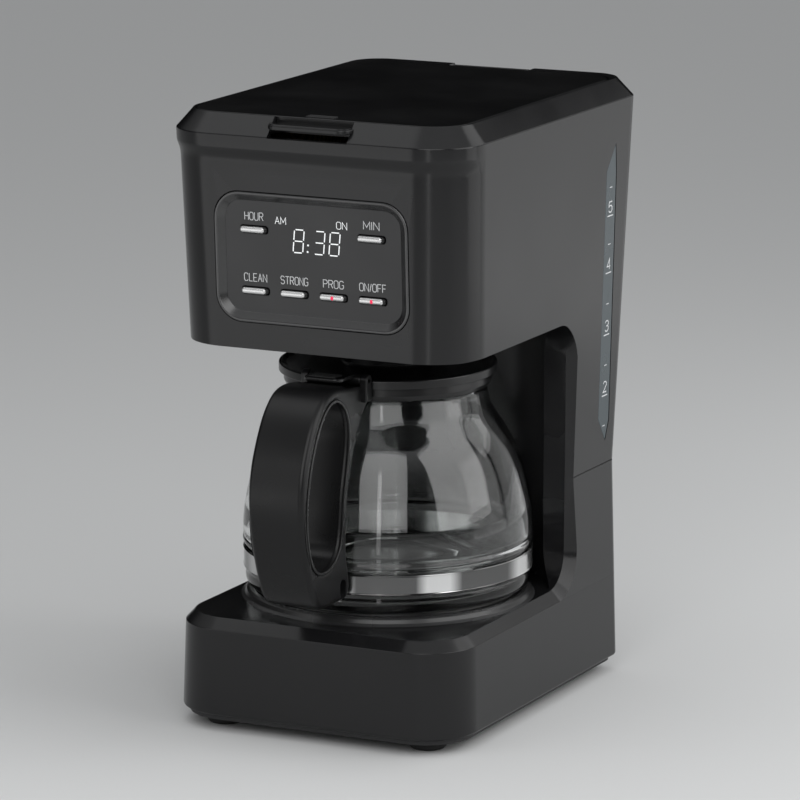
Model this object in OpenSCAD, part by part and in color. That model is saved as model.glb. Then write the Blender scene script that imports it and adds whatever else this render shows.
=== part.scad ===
// Small drip coffee maker: C-shaped body, glass carafe, control panel, hinged top lid.
// Millimetres. +Z up, the control panel faces -Y, +X is the side with the level window.
// The origin is on the bench, under the middle of the whole machine with its carafe handle.

/* [Body] */
// Width across the top rim
body_w = 140; // [138:1:144]
// Width across the bottom of the foot
foot_w = 137; // [136:1:140]
// Width at the seam, where the two shells meet and the body is narrowest
waist_w = 132; // [131:1:134]
// Height of the lid's top face above the bench
body_h = 265; // [264:1:268]
// Depth over the carafe handle and the back of the head
overall_d = 217; // [217:1:219]
// Depth of the head at its top rim
head_d = 185.5; // [185:0.5:186]
// Depth of the foot
base_d = 175; // [174:1:176]
// How far the back leans out between the seam and the top rim
back_lean = 14; // [13:1:15]
// Height of the seam between the two shells
seam_z = 96; // [95:1:98]
// Height of the head's underside
head_z = 166; // [166:1:167]
// Height of the deck that the carafe stands over
deck_z = 49; // [49:0.5:50]
// Wall thickness of the two shells
wall = 2.5; // [2.4:0.1:2.6]

/* [Carafe] */
// Widest outer radius of the glass
glass_r = 62.8; // [62.4:0.1:63]
// Width of the carafe handle
handle_w = 26; // [24:1:28]
// Outer radius of the carafe lid's rim
carafe_lid_r = 47; // [46.8:0.1:47.4]

/* [Control panel] */
// Height of the middle of the control panel
panel_z = 205.4; // [204:0.2:207]
// Half of the panel's outer width
panel_half_x = 45.2; // [45:0.1:46]
// Half of the panel's outer height
panel_half_y = 28.2; // [28:0.1:29]
// Travel of a button
button_travel = 0.8; // [0.6:0.1:0.8]

/* [Hidden] */
$fn = 72;

fit_gap = 0.05;
eps = 0.1;

y_back = overall_d / 2;
y_back_low = y_back - back_lean;
y_front_top = y_back - head_d;
y_front_base = y_back_low - base_d;
y_handle = -overall_d / 2;
front_lean = 0.05;
panel_tilt = atan(front_lean);

base_bottom = 7;
base_chamfer_z = deck_z - 4.5;
cover_screw_x = foot_w / 2 - 7;
deck_inset = 4.2;
rim_z = body_h - 8;
rim_inset = 6;
back_inset = 3;
front_r = 24;
back_r = 8;
back_r_top = 12;

axis_y = -2;
tower_y = y_back_low - 50.5;
tower_bow_r = 70;
bay_r = 16;

lid_t = 3.2;
lid_gap = 0.6;
hinge_y = y_back - 7;
hinge_z = body_h - 2.5;
pocket_half = body_w / 2 - rim_inset - 1;
pocket_front = y_front_top + rim_inset + 1;
pocket_back = hinge_y - 2;
tab_half = 19.5;

plate_top = deck_z + 4;
element_z = deck_z - 9;
element_r = 36;
element_gap = 70;
element_end_x = element_r * sin(element_gap / 2);
element_end_y = axis_y + element_r * cos(element_gap / 2);
hose_bend_r = 12;
riser_y = 78;
tank_bottom = seam_z - 12;
tank_top = rim_z - 13;
tank_wall = 1.8;
deck_plate_top = tank_top + 2.5;

button_x = [-27.3, -9.1, 9.1, 27.3];
upper_row = 11.6;
lower_row = -14.6;
button_size = [12.6, 3];
panel_face = -2;
panel_back = -4;
board_face = -10.4;

glass_bottom = plate_top + 0.3;
collar_z = 142;
collar_h = 6.5;
collar_r = 44.5;
neck_r = 41;
carafe_hinge_y = axis_y - 49.5;
carafe_hinge_z = 152.6;
band_z = 62.3;
band_h = 8.4;
band_screw_y = -71.5;
band_screw_z = band_z + band_h / 2;

black = [0.1, 0.1, 0.11];
shadow = [0.05, 0.05, 0.055];
steel = [0.75, 0.76, 0.78];
silicone = [0.8, 0.8, 0.76];
amber = [0.75, 0.6, 0.35];
glass_tint = [0.85, 0.9, 0.92, 0.4];

// ---------- shared shapes ----------

function mix(a, b, t) = a + (b - a) * t;
function upper_half(z) = mix(waist_w, body_w, (z - seam_z) / (rim_z - seam_z)) / 2;
function upper_back(z) = mix(y_back_low, y_back, (z - seam_z) / (rim_z - seam_z));
function upper_front(z) = y_front_top + front_lean * (rim_z - z);
function lower_half(z) = mix(foot_w, waist_w, (z - base_bottom) / (seam_z - base_bottom)) / 2;

// One pass of corner cutting on a closed outline, which rounds it.
function rounded_once(p) = [
    for (i = [0 : len(p) - 1])
        let (q = p[(i + 1) % len(p)])
        for (t = [0.25, 0.75])
            p[i] * (1 - t) + q * t
];
function rounded(p, passes) = passes == 0 ? p : rounded(rounded_once(p), passes - 1);

// Thin rounded rectangle that marks one level of a drafted shell.
module slab(z, half, front, back, rf = front_r, rb = back_r)
{
    for (s = [-1, 1]) {
        translate([s * (half - rf), front + rf, z])
            cylinder(r = rf, h = eps, $fn = 48);
        translate([s * (half - rb), back - rb, z])
            cylinder(r = rb, h = eps, $fn = 24);
    }
}

// Flat rounded rectangle given by its half width and its front and back edges.
module outline(half, front, back, rf, rb)
{
    difference() {
        translate([-half, front])
            square([2 * half, back - front]);
        for (s = [-1, 1]) {
            corner_bite(s * half, front, -s, 1, rf);
            corner_bite(s * half, back, -s, -1, rb);
        }
    }
}

// Region between a square corner and the arc that rounds it.
module corner_bite(x, y, dx, dy, r)
{
    difference() {
        translate([x - r, y - r])
            square(2 * r);
        translate([x + dx * r, y + dy * r])
            circle(r = r);
    }
}

module centred_plate(half_x, half_y, r, z0, z1)
{
    translate([0, 0, z0])
        linear_extrude(z1 - z0)
            outline(half_x, -half_y, half_y, r, r);
}

module rod(from, to, r)
{
    d = to - from;
    h = norm(d);
    translate(from)
        rotate([0, acos(d[2] / h), atan2(d[1], d[0])])
            cylinder(r = r, h = h);
}

module along_x(r, x0, x1, y, z)
{
    rod([x0, y, z], [x1, y, z], r);
}

module ring(r_out, r_in, z0, z1)
{
    translate([0, axis_y, z0])
        difference() {
            cylinder(r = r_out, h = z1 - z0);
            translate([0, 0, -1])
                cylinder(r = r_in, h = z1 - z0 + 2);
        }
}

module turned(points)
{
    translate([0, axis_y, 0])
        rotate_extrude($fn = 96)
            polygon(points);
}

// ---------- body ----------

// The open space between deck and head, grown by t on every side.
module bay(t)
{
    r = bay_r + t;
    y1 = tower_y + t;
    z0 = deck_z - t;
    z1 = head_z + t;
    rotate([90, 0, 90])
        translate([0, 0, -body_w])
            linear_extrude(2 * body_w) {
                translate([-200, z0])
                    square([200 + y1 - r, z1 - z0]);
                translate([-200, z0 + r])
                    square([200 + y1, z1 - z0 - 2 * r]);
                for (z = [z0 + r, z1 - r])
                    translate([y1 - r, z])
                        circle(r = r);
            }
    translate([0, axis_y, z0])
        cylinder(r = tower_bow_r + t, h = z1 - z0);
}

module upper_solid(t)
{
    low = seam_z - (t > 0 ? 1 : 0);
    difference() {
        hull() {
            slab(low, waist_w / 2 - t, upper_front(seam_z) + t, y_back_low - t);
            slab(rim_z - eps, body_w / 2 - t, y_front_top + t, y_back - t, front_r, back_r_top);
            if (t == 0)
                slab(body_h - eps, body_w / 2 - rim_inset, y_front_top + rim_inset,
                    y_back - back_inset, front_r - rim_inset, back_r_top + 2);
        }
        bay(t);
    }
}

module lower_solid(t)
{
    low = base_bottom - (t > 0 ? 1 : 0);
    high = seam_z + (t > 0 ? 1 : 0);
    foot_half = foot_w / 2 - t;
    rim_half = lower_half(base_chamfer_z) - t;
    front = y_front_base + t;
    hull() {
        slab(low, foot_half, front, y_back_low - t);
        slab(base_chamfer_z - eps, rim_half, front + 1, y_back_low - t);
        slab(deck_z - t - eps, rim_half - deck_inset, front + 1 + deck_inset, y_back_low - t,
            front_r - deck_inset, back_r);
    }
    difference() {
        hull() {
            slab(low, foot_half, 0, y_back_low - t);
            slab(high - eps, waist_w / 2 - t, 0, y_back_low - t);
        }
        bay(t);
    }
}

module lid_pocket()
{
    translate([0, 0, body_h - lid_t])
        linear_extrude(lid_t + 1)
            outline(pocket_half, pocket_front, pocket_back, 16, 14);
    translate([0, 0, rim_z - 2])
        linear_extrude(12)
            outline(pocket_half - 3, pocket_front + 3, pocket_back - 7, 13, 6);
}

module tab_notch()
{
    translate([-tab_half - 0.8, y_front_top - 5, rim_z - 0.8])
        cube([2 * tab_half + 1.6, 14.2, 12]);
}

module hinge_notch()
{
    translate([-tab_half, hinge_y - 6, hinge_z - 4])
        cube([2 * tab_half, 20, 12]);
    along_x(1.2 + fit_gap, -tab_half - 6, tab_half + 6, hinge_y, hinge_z);
}

module upper_housing()
{
    color(black)
        difference() {
            upper_solid(0);
            upper_solid(wall);
            lid_pocket();
            tab_notch();
            hinge_notch();
            on_panel()
                centred_plate(panel_half_x, panel_half_y, 12, -8, 4);
            window_shape(0.15);
            translate([0, axis_y, head_z - 1])
                cylinder(r = 14, h = wall + 2);
        }
}

// Level window outline on the +X side, grown by g.
module window_shape(g)
{
    rotate([90, 0, 90])
        translate([0, 0, waist_w / 2 - 6])
            linear_extrude(20)
                polygon([[71.5 - g, 117], [79.5, 106.5 - g], [83 + g, 115], [83 + g, 226],
                    [81.5, 238 + g], [72.5 - g, 227]]);
}

module level_window()
{
    color([0.28, 0.32, 0.33])
        intersection() {
            difference() {
                upper_solid(0);
                upper_solid(wall - 0.5);
            }
            window_shape(0);
        }
}

module screw_posts(r, z0, z1)
{
    for (s = [-1, 1])
        for (y = [-40, 56])
            translate([s * cover_screw_x, y, z0])
                cylinder(r = r, h = z1 - z0, $fn = 32);
}

module gland_notch(g)
{
    translate([22 - g, y_back_low - wall - 1, base_bottom - 1])
        cube([16 + 2 * g, wall + 2, 17 + g]);
}

module base_housing()
{
    color(black)
        difference() {
            union() {
                difference() {
                    lower_solid(0);
                    lower_solid(wall);
                }
                intersection() {
                    lower_solid(1);
                    screw_posts(5, base_bottom, 24);
                }
            }
            screw_posts(1.5 + fit_gap, base_bottom - 1, 19);
            gland_notch(0.1);
            translate([0, axis_y, deck_z - wall - 1])
                cylinder(r = 50, h = wall + 2);
        }
}

module bottom_cover()
{
    color(shadow)
        difference() {
            translate([0, 0, 4.5])
                linear_extrude(2.5)
                    outline(foot_w / 2 - 3, y_front_base + 3, y_back_low - 3, front_r - 3, 6);
            screw_posts(1.6, 4, 8);
            screw_posts(3.1, 4, 6);
        }
}

module cover_screws()
{
    color(steel) {
        screw_posts(1.5, 5, 18);
        screw_posts(3, 4.7, 6);
    }
}

module feet()
{
    color(shadow)
        for (s = [-1, 1])
            for (y = [-62, 78])
                translate([s * 48, y, 0]) {
                    cylinder(r1 = 7, r2 = 8, h = 1.2, $fn = 40);
                    translate([0, 0, 1.2])
                        cylinder(r = 8, h = 3.3, $fn = 40);
                }
}

module cord_gland()
{
    color(shadow)
        difference() {
            union() {
                translate([22, y_back_low - 10, base_bottom])
                    cube([16, 12, 16]);
                translate([18.5, y_back_low - wall - 3, base_bottom])
                    cube([23, 3, 19]);
            }
            translate([30, y_back_low + 3, base_bottom + 8])
                rotate([90, 0, 0])
                    cylinder(r = 3.4, h = 14);
        }
}

// ---------- heating and water path ----------

module warming_plate()
{
    color(shadow)
        difference() {
            turned([[0, deck_z - 4], [40.7, deck_z - 4], [40.7, deck_z + 1.2], [57.2, deck_z + 1.2],
                [57.2, plate_top - 0.6], [56.6, plate_top], [0, plate_top]]);
            bracket_holes(2 + fit_gap, deck_z - 5, deck_z - 0.5);
        }
}

module plate_ring()
{
    color([0.2, 0.2, 0.21])
        turned([[50.5, deck_z], [61.5, deck_z], [61.5, deck_z + 2.2], [60.3, deck_z + 3.2],
            [58.4, deck_z + 3.2], [57.6, deck_z + 2.4], [57.6, deck_z + 1.1], [50.5, deck_z + 1.1]]);
}

module heating_element()
{
    color([0.7, 0.7, 0.7]) {
        translate([0, axis_y, element_z])
            rotate([0, 0, 90 + element_gap / 2])
                rotate_extrude(angle = 360 - element_gap)
                    translate([element_r, 0])
                        circle(r = 5, $fn = 32);
        for (s = [-1, 1])
            rod([s * element_end_x, element_end_y - 2.5, element_z],
                [s * element_end_x, element_end_y + 16, element_z], 4);
    }
}

module bracket_holes(r, z0, z1)
{
    for (s = [-1, 1])
        translate([s * 18, axis_y, z0])
            cylinder(r = r, h = z1 - z0, $fn = 32);
}

module element_bracket()
{
    color(steel)
        difference() {
            translate([0, axis_y, element_z - 7.5])
                linear_extrude(2.5)
                    outline(42, -8, 8, 4, 4);
            bracket_holes(2.1, element_z - 9, element_z);
        }
}

module bracket_screws()
{
    color(steel) {
        bracket_holes(2, element_z - 8, deck_z - 1);
        bracket_holes(4, element_z - 10, element_z - 7.5);
    }
}

module thermostat()
{
    color([0.85, 0.84, 0.8]) {
        translate([0, axis_y, element_z - 5])
            cylinder(r = 9, h = 8);
        translate([0, axis_y, element_z + 2])
            cylinder(r = 7.5, h = 3);
    }
}

module thermal_fuses()
{
    color([0.85, 0.84, 0.8])
        for (y = [axis_y - 4, axis_y + 4])
            along_x(2.4, -12, 12, y, element_z - 9.9);
}

// Quarter-turn hose: back from the element's end, then up.
module hose_run(side, top)
{
    x = side * element_end_x;
    start = element_end_y + 7;
    bend = riser_y - hose_bend_r;
    difference() {
        union() {
            rod([x, start, element_z], [x, bend, element_z], 5.5);
            hose_bend(x, bend, 5.5);
            rod([x, riser_y, element_z + hose_bend_r], [x, riser_y, top], 5.5);
        }
        rod([x, start - 1, element_z], [x, bend + eps, element_z], 4 + fit_gap);
        hose_bend(x, bend, 4 + fit_gap);
        rod([x, riser_y, element_z + hose_bend_r - eps], [x, riser_y, top + 1], 4 + fit_gap);
    }
}

module hose_bend(x, y, r)
{
    translate([x, y, element_z + hose_bend_r])
        rotate([90, 0, 90])
            rotate([0, 0, -90])
                rotate_extrude(angle = 90)
                    translate([hose_bend_r, 0])
                        circle(r = r, $fn = 32);
}

module cold_water_hose()
{
    color(silicone)
        hose_run(-1, element_z + 22);
}

module hot_water_hose()
{
    color(silicone)
        hose_run(1, element_z + 26);
}

module hose_clamps()
{
    color(steel)
        for (s = [-1, 1])
            translate([s * element_end_x, element_end_y + 9, element_z])
                rotate([-90, 0, 0])
                    difference() {
                        cylinder(r = 6.3, h = 5);
                        translate([0, 0, -1])
                            cylinder(r = 5.5 + fit_gap, h = 7);
                    }
}

module at_valve(z)
{
    translate([-element_end_x, riser_y, z])
        children();
}

module check_valve_body()
{
    color([0.85, 0.86, 0.84])
        difference() {
            union() {
                at_valve(element_z + 16)
                    cylinder(r = 4, h = 8);
                at_valve(element_z + 22)
                    cylinder(r = 7, h = 12);
                at_valve(element_z + 34)
                    cylinder(r = 6, h = tank_bottom - element_z - 34);
            }
            at_valve(element_z + 15)
                cylinder(r = 2, h = 14);
            at_valve(element_z + 25)
                cylinder(r = 4.5, h = 8);
            at_valve(element_z + 32)
                cylinder(r = 2, h = 20);
        }
}

module check_valve_ball()
{
    color([0.9, 0.9, 0.92])
        at_valve(element_z + 28.1)
            sphere(r = 3, $fn = 40);
}

module riser_tube()
{
    color([0.8, 0.8, 0.8])
        translate([element_end_x, riser_y, element_z + 16])
            difference() {
                cylinder(r = 4, h = deck_plate_top + 5 - element_z - 16);
                translate([0, 0, -1])
                    cylinder(r = 2.8, h = deck_plate_top + 10 - element_z - 16);
            }
}

module tank_solid(t)
{
    difference() {
        hull() {
            slab(tank_bottom + t, waist_w / 2 - 3.6 - t, tower_y + 3.2 + t,
                y_back_low - 4.5 - t, 3, 7.5 - t);
            slab(tank_top - eps + (t > 0 ? 1 : 0), upper_half(tank_top) - 3.2 - t,
                tower_y + 3.2 + t, upper_back(tank_top) - 3.4 - t, 3, 11.5 - t);
        }
        translate([0, axis_y, 0])
            cylinder(r = tower_bow_r + wall + 1.5 + t, h = body_h);
        translate([element_end_x, riser_y, 0])
            cylinder(r = 5.5 + t, h = body_h);
        translate([element_end_x - 5.5 - t, 50, 0])
            cube([11 + 2 * t, riser_y - 50, body_h]);
    }
}

module water_tank()
{
    color([0.55, 0.58, 0.6])
        difference() {
            union() {
                difference() {
                    tank_solid(0);
                    tank_solid(tank_wall);
                }
                at_valve(tank_bottom - 8)
                    cylinder(r = 8.4, h = 8);
            }
            at_valve(tank_bottom - 9)
                cylinder(r = 6 + fit_gap, h = 9);
            at_valve(tank_bottom - 1)
                cylinder(r = 2.5, h = 4);
        }
}

module top_deck()
{
    z = tank_top;
    color(shadow)
        difference() {
            translate([0, 0, z])
                linear_extrude(deck_plate_top - z)
                    outline(upper_half(z) - wall - 0.4, upper_front(z) + wall + 0.5,
                        upper_back(z) - wall - 0.4, front_r, back_r_top);
            translate([0, axis_y, z - 1])
                cylinder(r = 48.5, h = 5);
            translate([-24, 0, z - 1])
                linear_extrude(5)
                    outline(32, 60, 97, 5, 5);
            translate([element_end_x, riser_y, z - 1])
                cylinder(r = 4 + fit_gap, h = 5);
        }
}

module water_spout()
{
    top = deck_plate_top;
    start = [element_end_x, riser_y, top + 7.4];
    end = [0, axis_y, top + 7.4];
    color(shadow)
        difference() {
            union() {
                translate([element_end_x, riser_y, top])
                    cylinder(r = 6, h = 11);
                rod(start, end, 3.2);
                translate([0, axis_y, top + 4.1])
                    cylinder(r = 5, h = 7);
            }
            translate([element_end_x, riser_y, top - 1])
                cylinder(r = 4 + fit_gap, h = 7.6);
            rod(start, end, 1.6);
            translate([0, axis_y, top + 3])
                cylinder(r = 2.4, h = 5);
        }
}

module water_spreader()
{
    top = deck_plate_top;
    color(shadow)
        translate([0, axis_y, top + 2.8])
            difference() {
                cylinder(r = 22, h = 1.2);
                for (a = [0 : 45 : 315])
                    rotate([0, 0, a])
                        translate([14, 0, -1])
                            cylinder(r = 1.6, h = 4, $fn = 24);
            }
}

// ---------- brewing ----------

module brew_well()
{
    color(shadow)
        turned([[14, head_z + wall], [38, head_z + wall], [51, tank_top - 2], [54, tank_top - 2],
            [54, tank_top], [49.2, tank_top], [36.4, head_z + wall + 2], [14, head_z + wall + 2]]);
}

module brew_basket()
{
    floor_z = head_z + 8;
    color([0.12, 0.12, 0.13])
        turned([[4, floor_z - 2], [8, floor_z - 2], [8, head_z - 3], [11, head_z - 3],
            [11, floor_z - 2], [34, floor_z], [46.8, deck_plate_top], [50, deck_plate_top],
            [50, deck_plate_top + 1.8], [45.2, deck_plate_top + 1.8], [33, floor_z + 2],
            [4, floor_z + 2]]);
}

module mesh_filter()
{
    floor_z = head_z + 14.5;
    rim = deck_plate_top + 1.9;
    color(amber)
        turned([[0, floor_z], [33, floor_z], [44.4, rim], [48, rim], [48, rim + 0.8],
            [43.6, rim + 0.8], [32.3, floor_z + 0.8], [0, floor_z + 0.8]]);
}

module drip_stop_plunger()
{
    tip_z = head_z - 5;
    stem_top = head_z + 9.6;
    color(shadow)
        turned([[0, tip_z], [4, tip_z], [5, tip_z + 1], [5, tip_z + 3], [2.5, tip_z + 3],
            [2.5, stem_top], [0, stem_top]]);
}

module drip_stop_seal()
{
    color([0.6, 0.25, 0.2])
        translate([0, axis_y, head_z + 6.6])
            difference() {
                cylinder(r = 3.9, h = 2.4);
                translate([0, 0, -1])
                    cylinder(r = 2.5, h = 5);
            }
}

module drip_stop_spring()
{
    coils = 3;
    low = head_z - 2;
    high = head_z + 6;
    pitch = (high - low - 1) / coils;
    color(steel)
        for (i = [0 : coils])
            translate([0, axis_y, low + 0.5 + i * pitch])
                rotate_extrude()
                    translate([4.2, 0])
                        circle(r = 0.45, $fn = 16);
}

// ---------- control panel ----------

// Frame on the sloping front face: x across, y up the face, z out of it.
module on_panel()
{
    translate([0, upper_front(panel_z), panel_z])
        rotate([90 + panel_tilt, 0, 0])
            children();
}

module panel_bezel()
{
    color([0.16, 0.16, 0.17])
        on_panel()
            difference() {
                centred_plate(panel_half_x - fit_gap, panel_half_y - fit_gap, 12, panel_back, 0.4);
                centred_plate(panel_half_x - 4.2, panel_half_y - 3.8, 8.5, -9, 4);
            }
}

module button_slots(g)
{
    for (x = button_x)
        translate([x, lower_row, 0])
            centred_plate(button_size[0] / 2 + g, button_size[1] / 2 + g, 1.2, -9, 4);
    for (x = [button_x[0], button_x[3]])
        translate([x, upper_row, 0])
            centred_plate(button_size[0] / 2 + g, button_size[1] / 2 + g, 1.2, -9, 4);
}

module board_posts(r, z0, z1)
{
    for (sx = [-1, 1])
        for (sy = [-1, 1])
            translate([sx * 36.5, sy * 20, z0])
                cylinder(r = r, h = z1 - z0, $fn = 24);
}

module control_panel()
{
    color(shadow)
        on_panel()
            difference() {
                union() {
                    centred_plate(panel_half_x - 4.25, panel_half_y - 3.85, 8.4,
                        panel_back, panel_face);
                    board_posts(2.6, board_face, panel_back);
                }
                button_slots(0.2);
                board_posts(1.2 + fit_gap, board_face - 1, panel_back - 1);
                translate([0, upper_row - 1.6, 0])
                    centred_plate(19, 8.6, 1.5, -9, 4);
            }
}

module display_window()
{
    color([0.02, 0.02, 0.02])
        on_panel()
            translate([0, upper_row - 1.6, 0])
                centred_plate(19 - fit_gap, 8.6 - fit_gap, 1.4, panel_back, panel_face);
}

module display_module()
{
    color([0.2, 0.2, 0.22])
        on_panel()
            translate([-18, upper_row - 9.6, board_face])
                cube([36, 16, panel_back - board_face]);
}

module control_board()
{
    color([0.1, 0.3, 0.16])
        on_panel()
            difference() {
                centred_plate(39.5, 23, 2, board_face - 1.6, board_face);
                board_posts(1.3, board_face - 3, board_face + 1);
            }
}

module at_button(x, row)
{
    on_panel()
        translate([x, row, 0])
            children();
}

module tact_switch()
{
    translate([-3, -3, board_face])
        cube([6, 6, 1.8]);
    translate([0, 0, board_face + 1.8])
        cylinder(r = 1.6, h = 0.7, $fn = 24);
}

module tact_switches()
{
    color([0.75, 0.75, 0.75]) {
        for (x = button_x)
            at_button(x, lower_row)
                tact_switch();
        for (x = [button_x[0], button_x[3]])
            at_button(x, upper_row)
                tact_switch();
    }
}

module board_screws()
{
    color(steel)
        on_panel() {
            board_posts(1.2, board_face - 2, panel_back - 2);
            board_posts(2.4, board_face - 3, board_face - 1.6);
        }
}

// Bar-shaped key with a flange behind the panel and a stem to its switch.
module key(x, row, lamp = false)
{
    stem_end = board_face + 2.5 + button_travel + 0.1;
    color([0.86, 0.87, 0.88])
        at_button(x, row)
            difference() {
                union() {
                    centred_plate(button_size[0] / 2, button_size[1] / 2, 1.1, panel_back - 1, -0.2);
                    centred_plate(button_size[0] / 2 + 0.9, button_size[1] / 2 + 0.9, 1.2,
                        panel_back - 1.1, panel_back - 0.1);
                    translate([0, 0, stem_end])
                        cylinder(r = 1, h = panel_back - 0.5 - stem_end, $fn = 24);
                }
                if (lamp)
                    translate([0, 0, -2.5])
                        cylinder(r = 0.9 + fit_gap, h = 4, $fn = 24);
            }
}

module lamp(x)
{
    color([0.85, 0.08, 0.12])
        at_button(x, lower_row)
            translate([0, 0, -2.5])
                cylinder(r = 0.9, h = 2.4, $fn = 24);
}

module button_hour() { key(button_x[0], upper_row); }
module button_minute() { key(button_x[3], upper_row); }
module button_clean() { key(button_x[0], lower_row); }
module button_strong() { key(button_x[1], lower_row); }
module button_program() { key(button_x[2], lower_row, true); }
module button_power() { key(button_x[3], lower_row, true); }
module program_lamp() { lamp(button_x[2]); }
module power_lamp() { lamp(button_x[3]); }

// ---------- lid ----------

// Finger tab that stands out over the front rim, with its front corners rounded off.
module lid_tab()
{
    front = y_front_top - 2.5;
    translate([0, 0, body_h - 4.5])
        linear_extrude(2)
            difference() {
                translate([-tab_half, front])
                    square([2 * tab_half, 11.5]);
                for (s = [-1, 1])
                    corner_bite(s * tab_half, front, -s, 1, 6);
            }
}

module top_lid()
{
    color(black)
        difference() {
            union() {
                translate([0, 0, body_h - lid_t])
                    linear_extrude(lid_t)
                        outline(pocket_half - lid_gap, pocket_front + lid_gap,
                            pocket_back - 1.2, 15.4, 13.4);
                translate([0, 0, rim_z + 0.5])
                    linear_extrude(6)
                        difference() {
                            outline(pocket_half - 4.4, pocket_front + 4.4, pocket_back - 8.6, 12, 5);
                            outline(pocket_half - 6.2, pocket_front + 6.2, pocket_back - 10.4, 10, 4);
                        }
                lid_tab();
                translate([-tab_half + 1, hinge_y - 6, body_h - lid_t + 0.1])
                    cube([2 * tab_half - 2, 6, 2.8]);
                along_x(2.4, -tab_half + 1, tab_half - 1, hinge_y, hinge_z);
            }
            along_x(1.2 + fit_gap, -tab_half, tab_half, hinge_y, hinge_z);
        }
}

module lid_pin()
{
    color(steel)
        along_x(1.2, -tab_half - 5, tab_half + 5, hinge_y, hinge_z);
}

// ---------- carafe ----------

// Outer outline of the glass from the bottom edge to the top of the neck.
glass_side = [[52, 0], [57.5, 1.4], [60.6, 4.4], [61.8, 8], [61.8, 18], [glass_r, 20.5],
    [glass_r, 26], [62, 34], [60.3, 43.7], [58, 53], [54.8, 61.7], [51.4, 68], [47.6, 73.8],
    [44.4, 79], [43.2, 83.5], [42.4, 86.8], [neck_r, 88.6], [neck_r, 94.5]];
glass_wall = 2.2;

module carafe_glass()
{
    inner = [for (i = [len(glass_side) - 1 : -1 : 1])
        [glass_side[i][0] - glass_wall, max(glass_side[i][1], glass_wall + 0.6)]];
    color(glass_tint)
        translate([0, 0, glass_bottom])
            turned(concat([[0, 0]], glass_side, inner, [[0, glass_wall + 0.4]]));
}

module carafe_band()
{
    r_in = 61.8 + fit_gap;
    color(steel)
        difference() {
            union() {
                ring(r_in + 0.7, r_in, band_z, band_z + band_h);
                for (s = [-1, 1])
                    translate([s * 2.1 - 0.6, -76, band_z + 0.5])
                        cube([1.2, 76 + axis_y - r_in - 0.2, band_h - 1]);
            }
            along_x(1.65, -4, 4, band_screw_y, band_screw_z);
        }
}

module band_screw()
{
    color(steel) {
        along_x(1.6, -8, 8, band_screw_y, band_screw_z);
        along_x(3, 7.5, 9.5, band_screw_y, band_screw_z);
    }
}

module carafe_collar()
{
    top = collar_z + collar_h;
    spout_top = top - 1.2;
    color(shadow)
        difference() {
            union() {
                ring(collar_r, neck_r + fit_gap, collar_z, top);
                hull() {
                    translate([0, axis_y + collar_r - 2, collar_z + 2])
                        cylinder(r = 8, h = spout_top - collar_z - 2, $fn = 32);
                    translate([0, axis_y + collar_r + 9, spout_top - 1.5])
                        cylinder(r = 2.5, h = 1.5, $fn = 32);
                }
            }
            hull() {
                translate([0, axis_y + collar_r - 3, collar_z + 3.4])
                    cylinder(r = 5.5, h = 6, $fn = 32);
                translate([0, axis_y + collar_r + 8, spout_top - 0.6])
                    cylinder(r = 1.2, h = 2, $fn = 32);
            }
            translate([0, axis_y, collar_z - 1])
                cylinder(r = neck_r + fit_gap, h = 12);
        }
}

module carafe_lid()
{
    r = carafe_lid_r;
    rim = collar_z + collar_h;
    color(shadow)
        difference() {
            union() {
                turned([[6, 157], [14, 156], [17.5, 149.6], [36, rim + 0.1], [36, rim - 6],
                    [38.3, rim - 6], [38.3, rim + 0.1], [44.8, rim + 0.1], [44.8, rim - 1],
                    [r, rim - 1], [r, rim + 3], [r - 1.6, rim + 3], [r - 3, rim + 2],
                    [19, rim + 2], [16, 159], [14.5, 160.5], [9.5, 160.5], [6, 158.5]]);
                along_x(2.4, -12, 12, carafe_hinge_y, carafe_hinge_z);
                translate([-12, carafe_hinge_y, rim + 1.7])
                    cube([24, 6, 2]);
                translate([-9, carafe_hinge_y - 15, carafe_hinge_z + 0.6])
                    cube([18, 16, 1.8]);
            }
            along_x(1.2 + fit_gap, -13, 13, carafe_hinge_y, carafe_hinge_z);
        }
}

module carafe_lid_pin()
{
    color(steel)
        along_x(1.2, -15.5, 15.5, carafe_hinge_y, carafe_hinge_z);
}

// Side view of the handle loop: y and z of its outer edge and of its finger opening.
handle_edge = [[-44, 150], [-62, 152], [-82, 154.5], [-94, 146.5], [-102, 134], [y_handle + 1, 121],
    [y_handle - 0.4, 107], [y_handle + 2, 92], [-102.5, 79], [-97, 66], [-91, 61.5], [-78, 61.5],
    [-64.6, 61.5], [-64.6, 72], [-67.4, 80], [-67.2, 92], [-65.4, 106], [-60.5, 123],
    [-53, 137], [-45.5, 142.5]];
handle_hole = [[-79, 149], [-89, 143.5], [-97, 131], [-102, 117], [-104, 104], [-102.4, 91],
    [-98, 81], [-91, 77.5], [-82, 78.5], [-74, 84], [-71.8, 94], [-70.8, 106], [-66.5, 122],
    [-65, 134], [-69, 144]];

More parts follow.
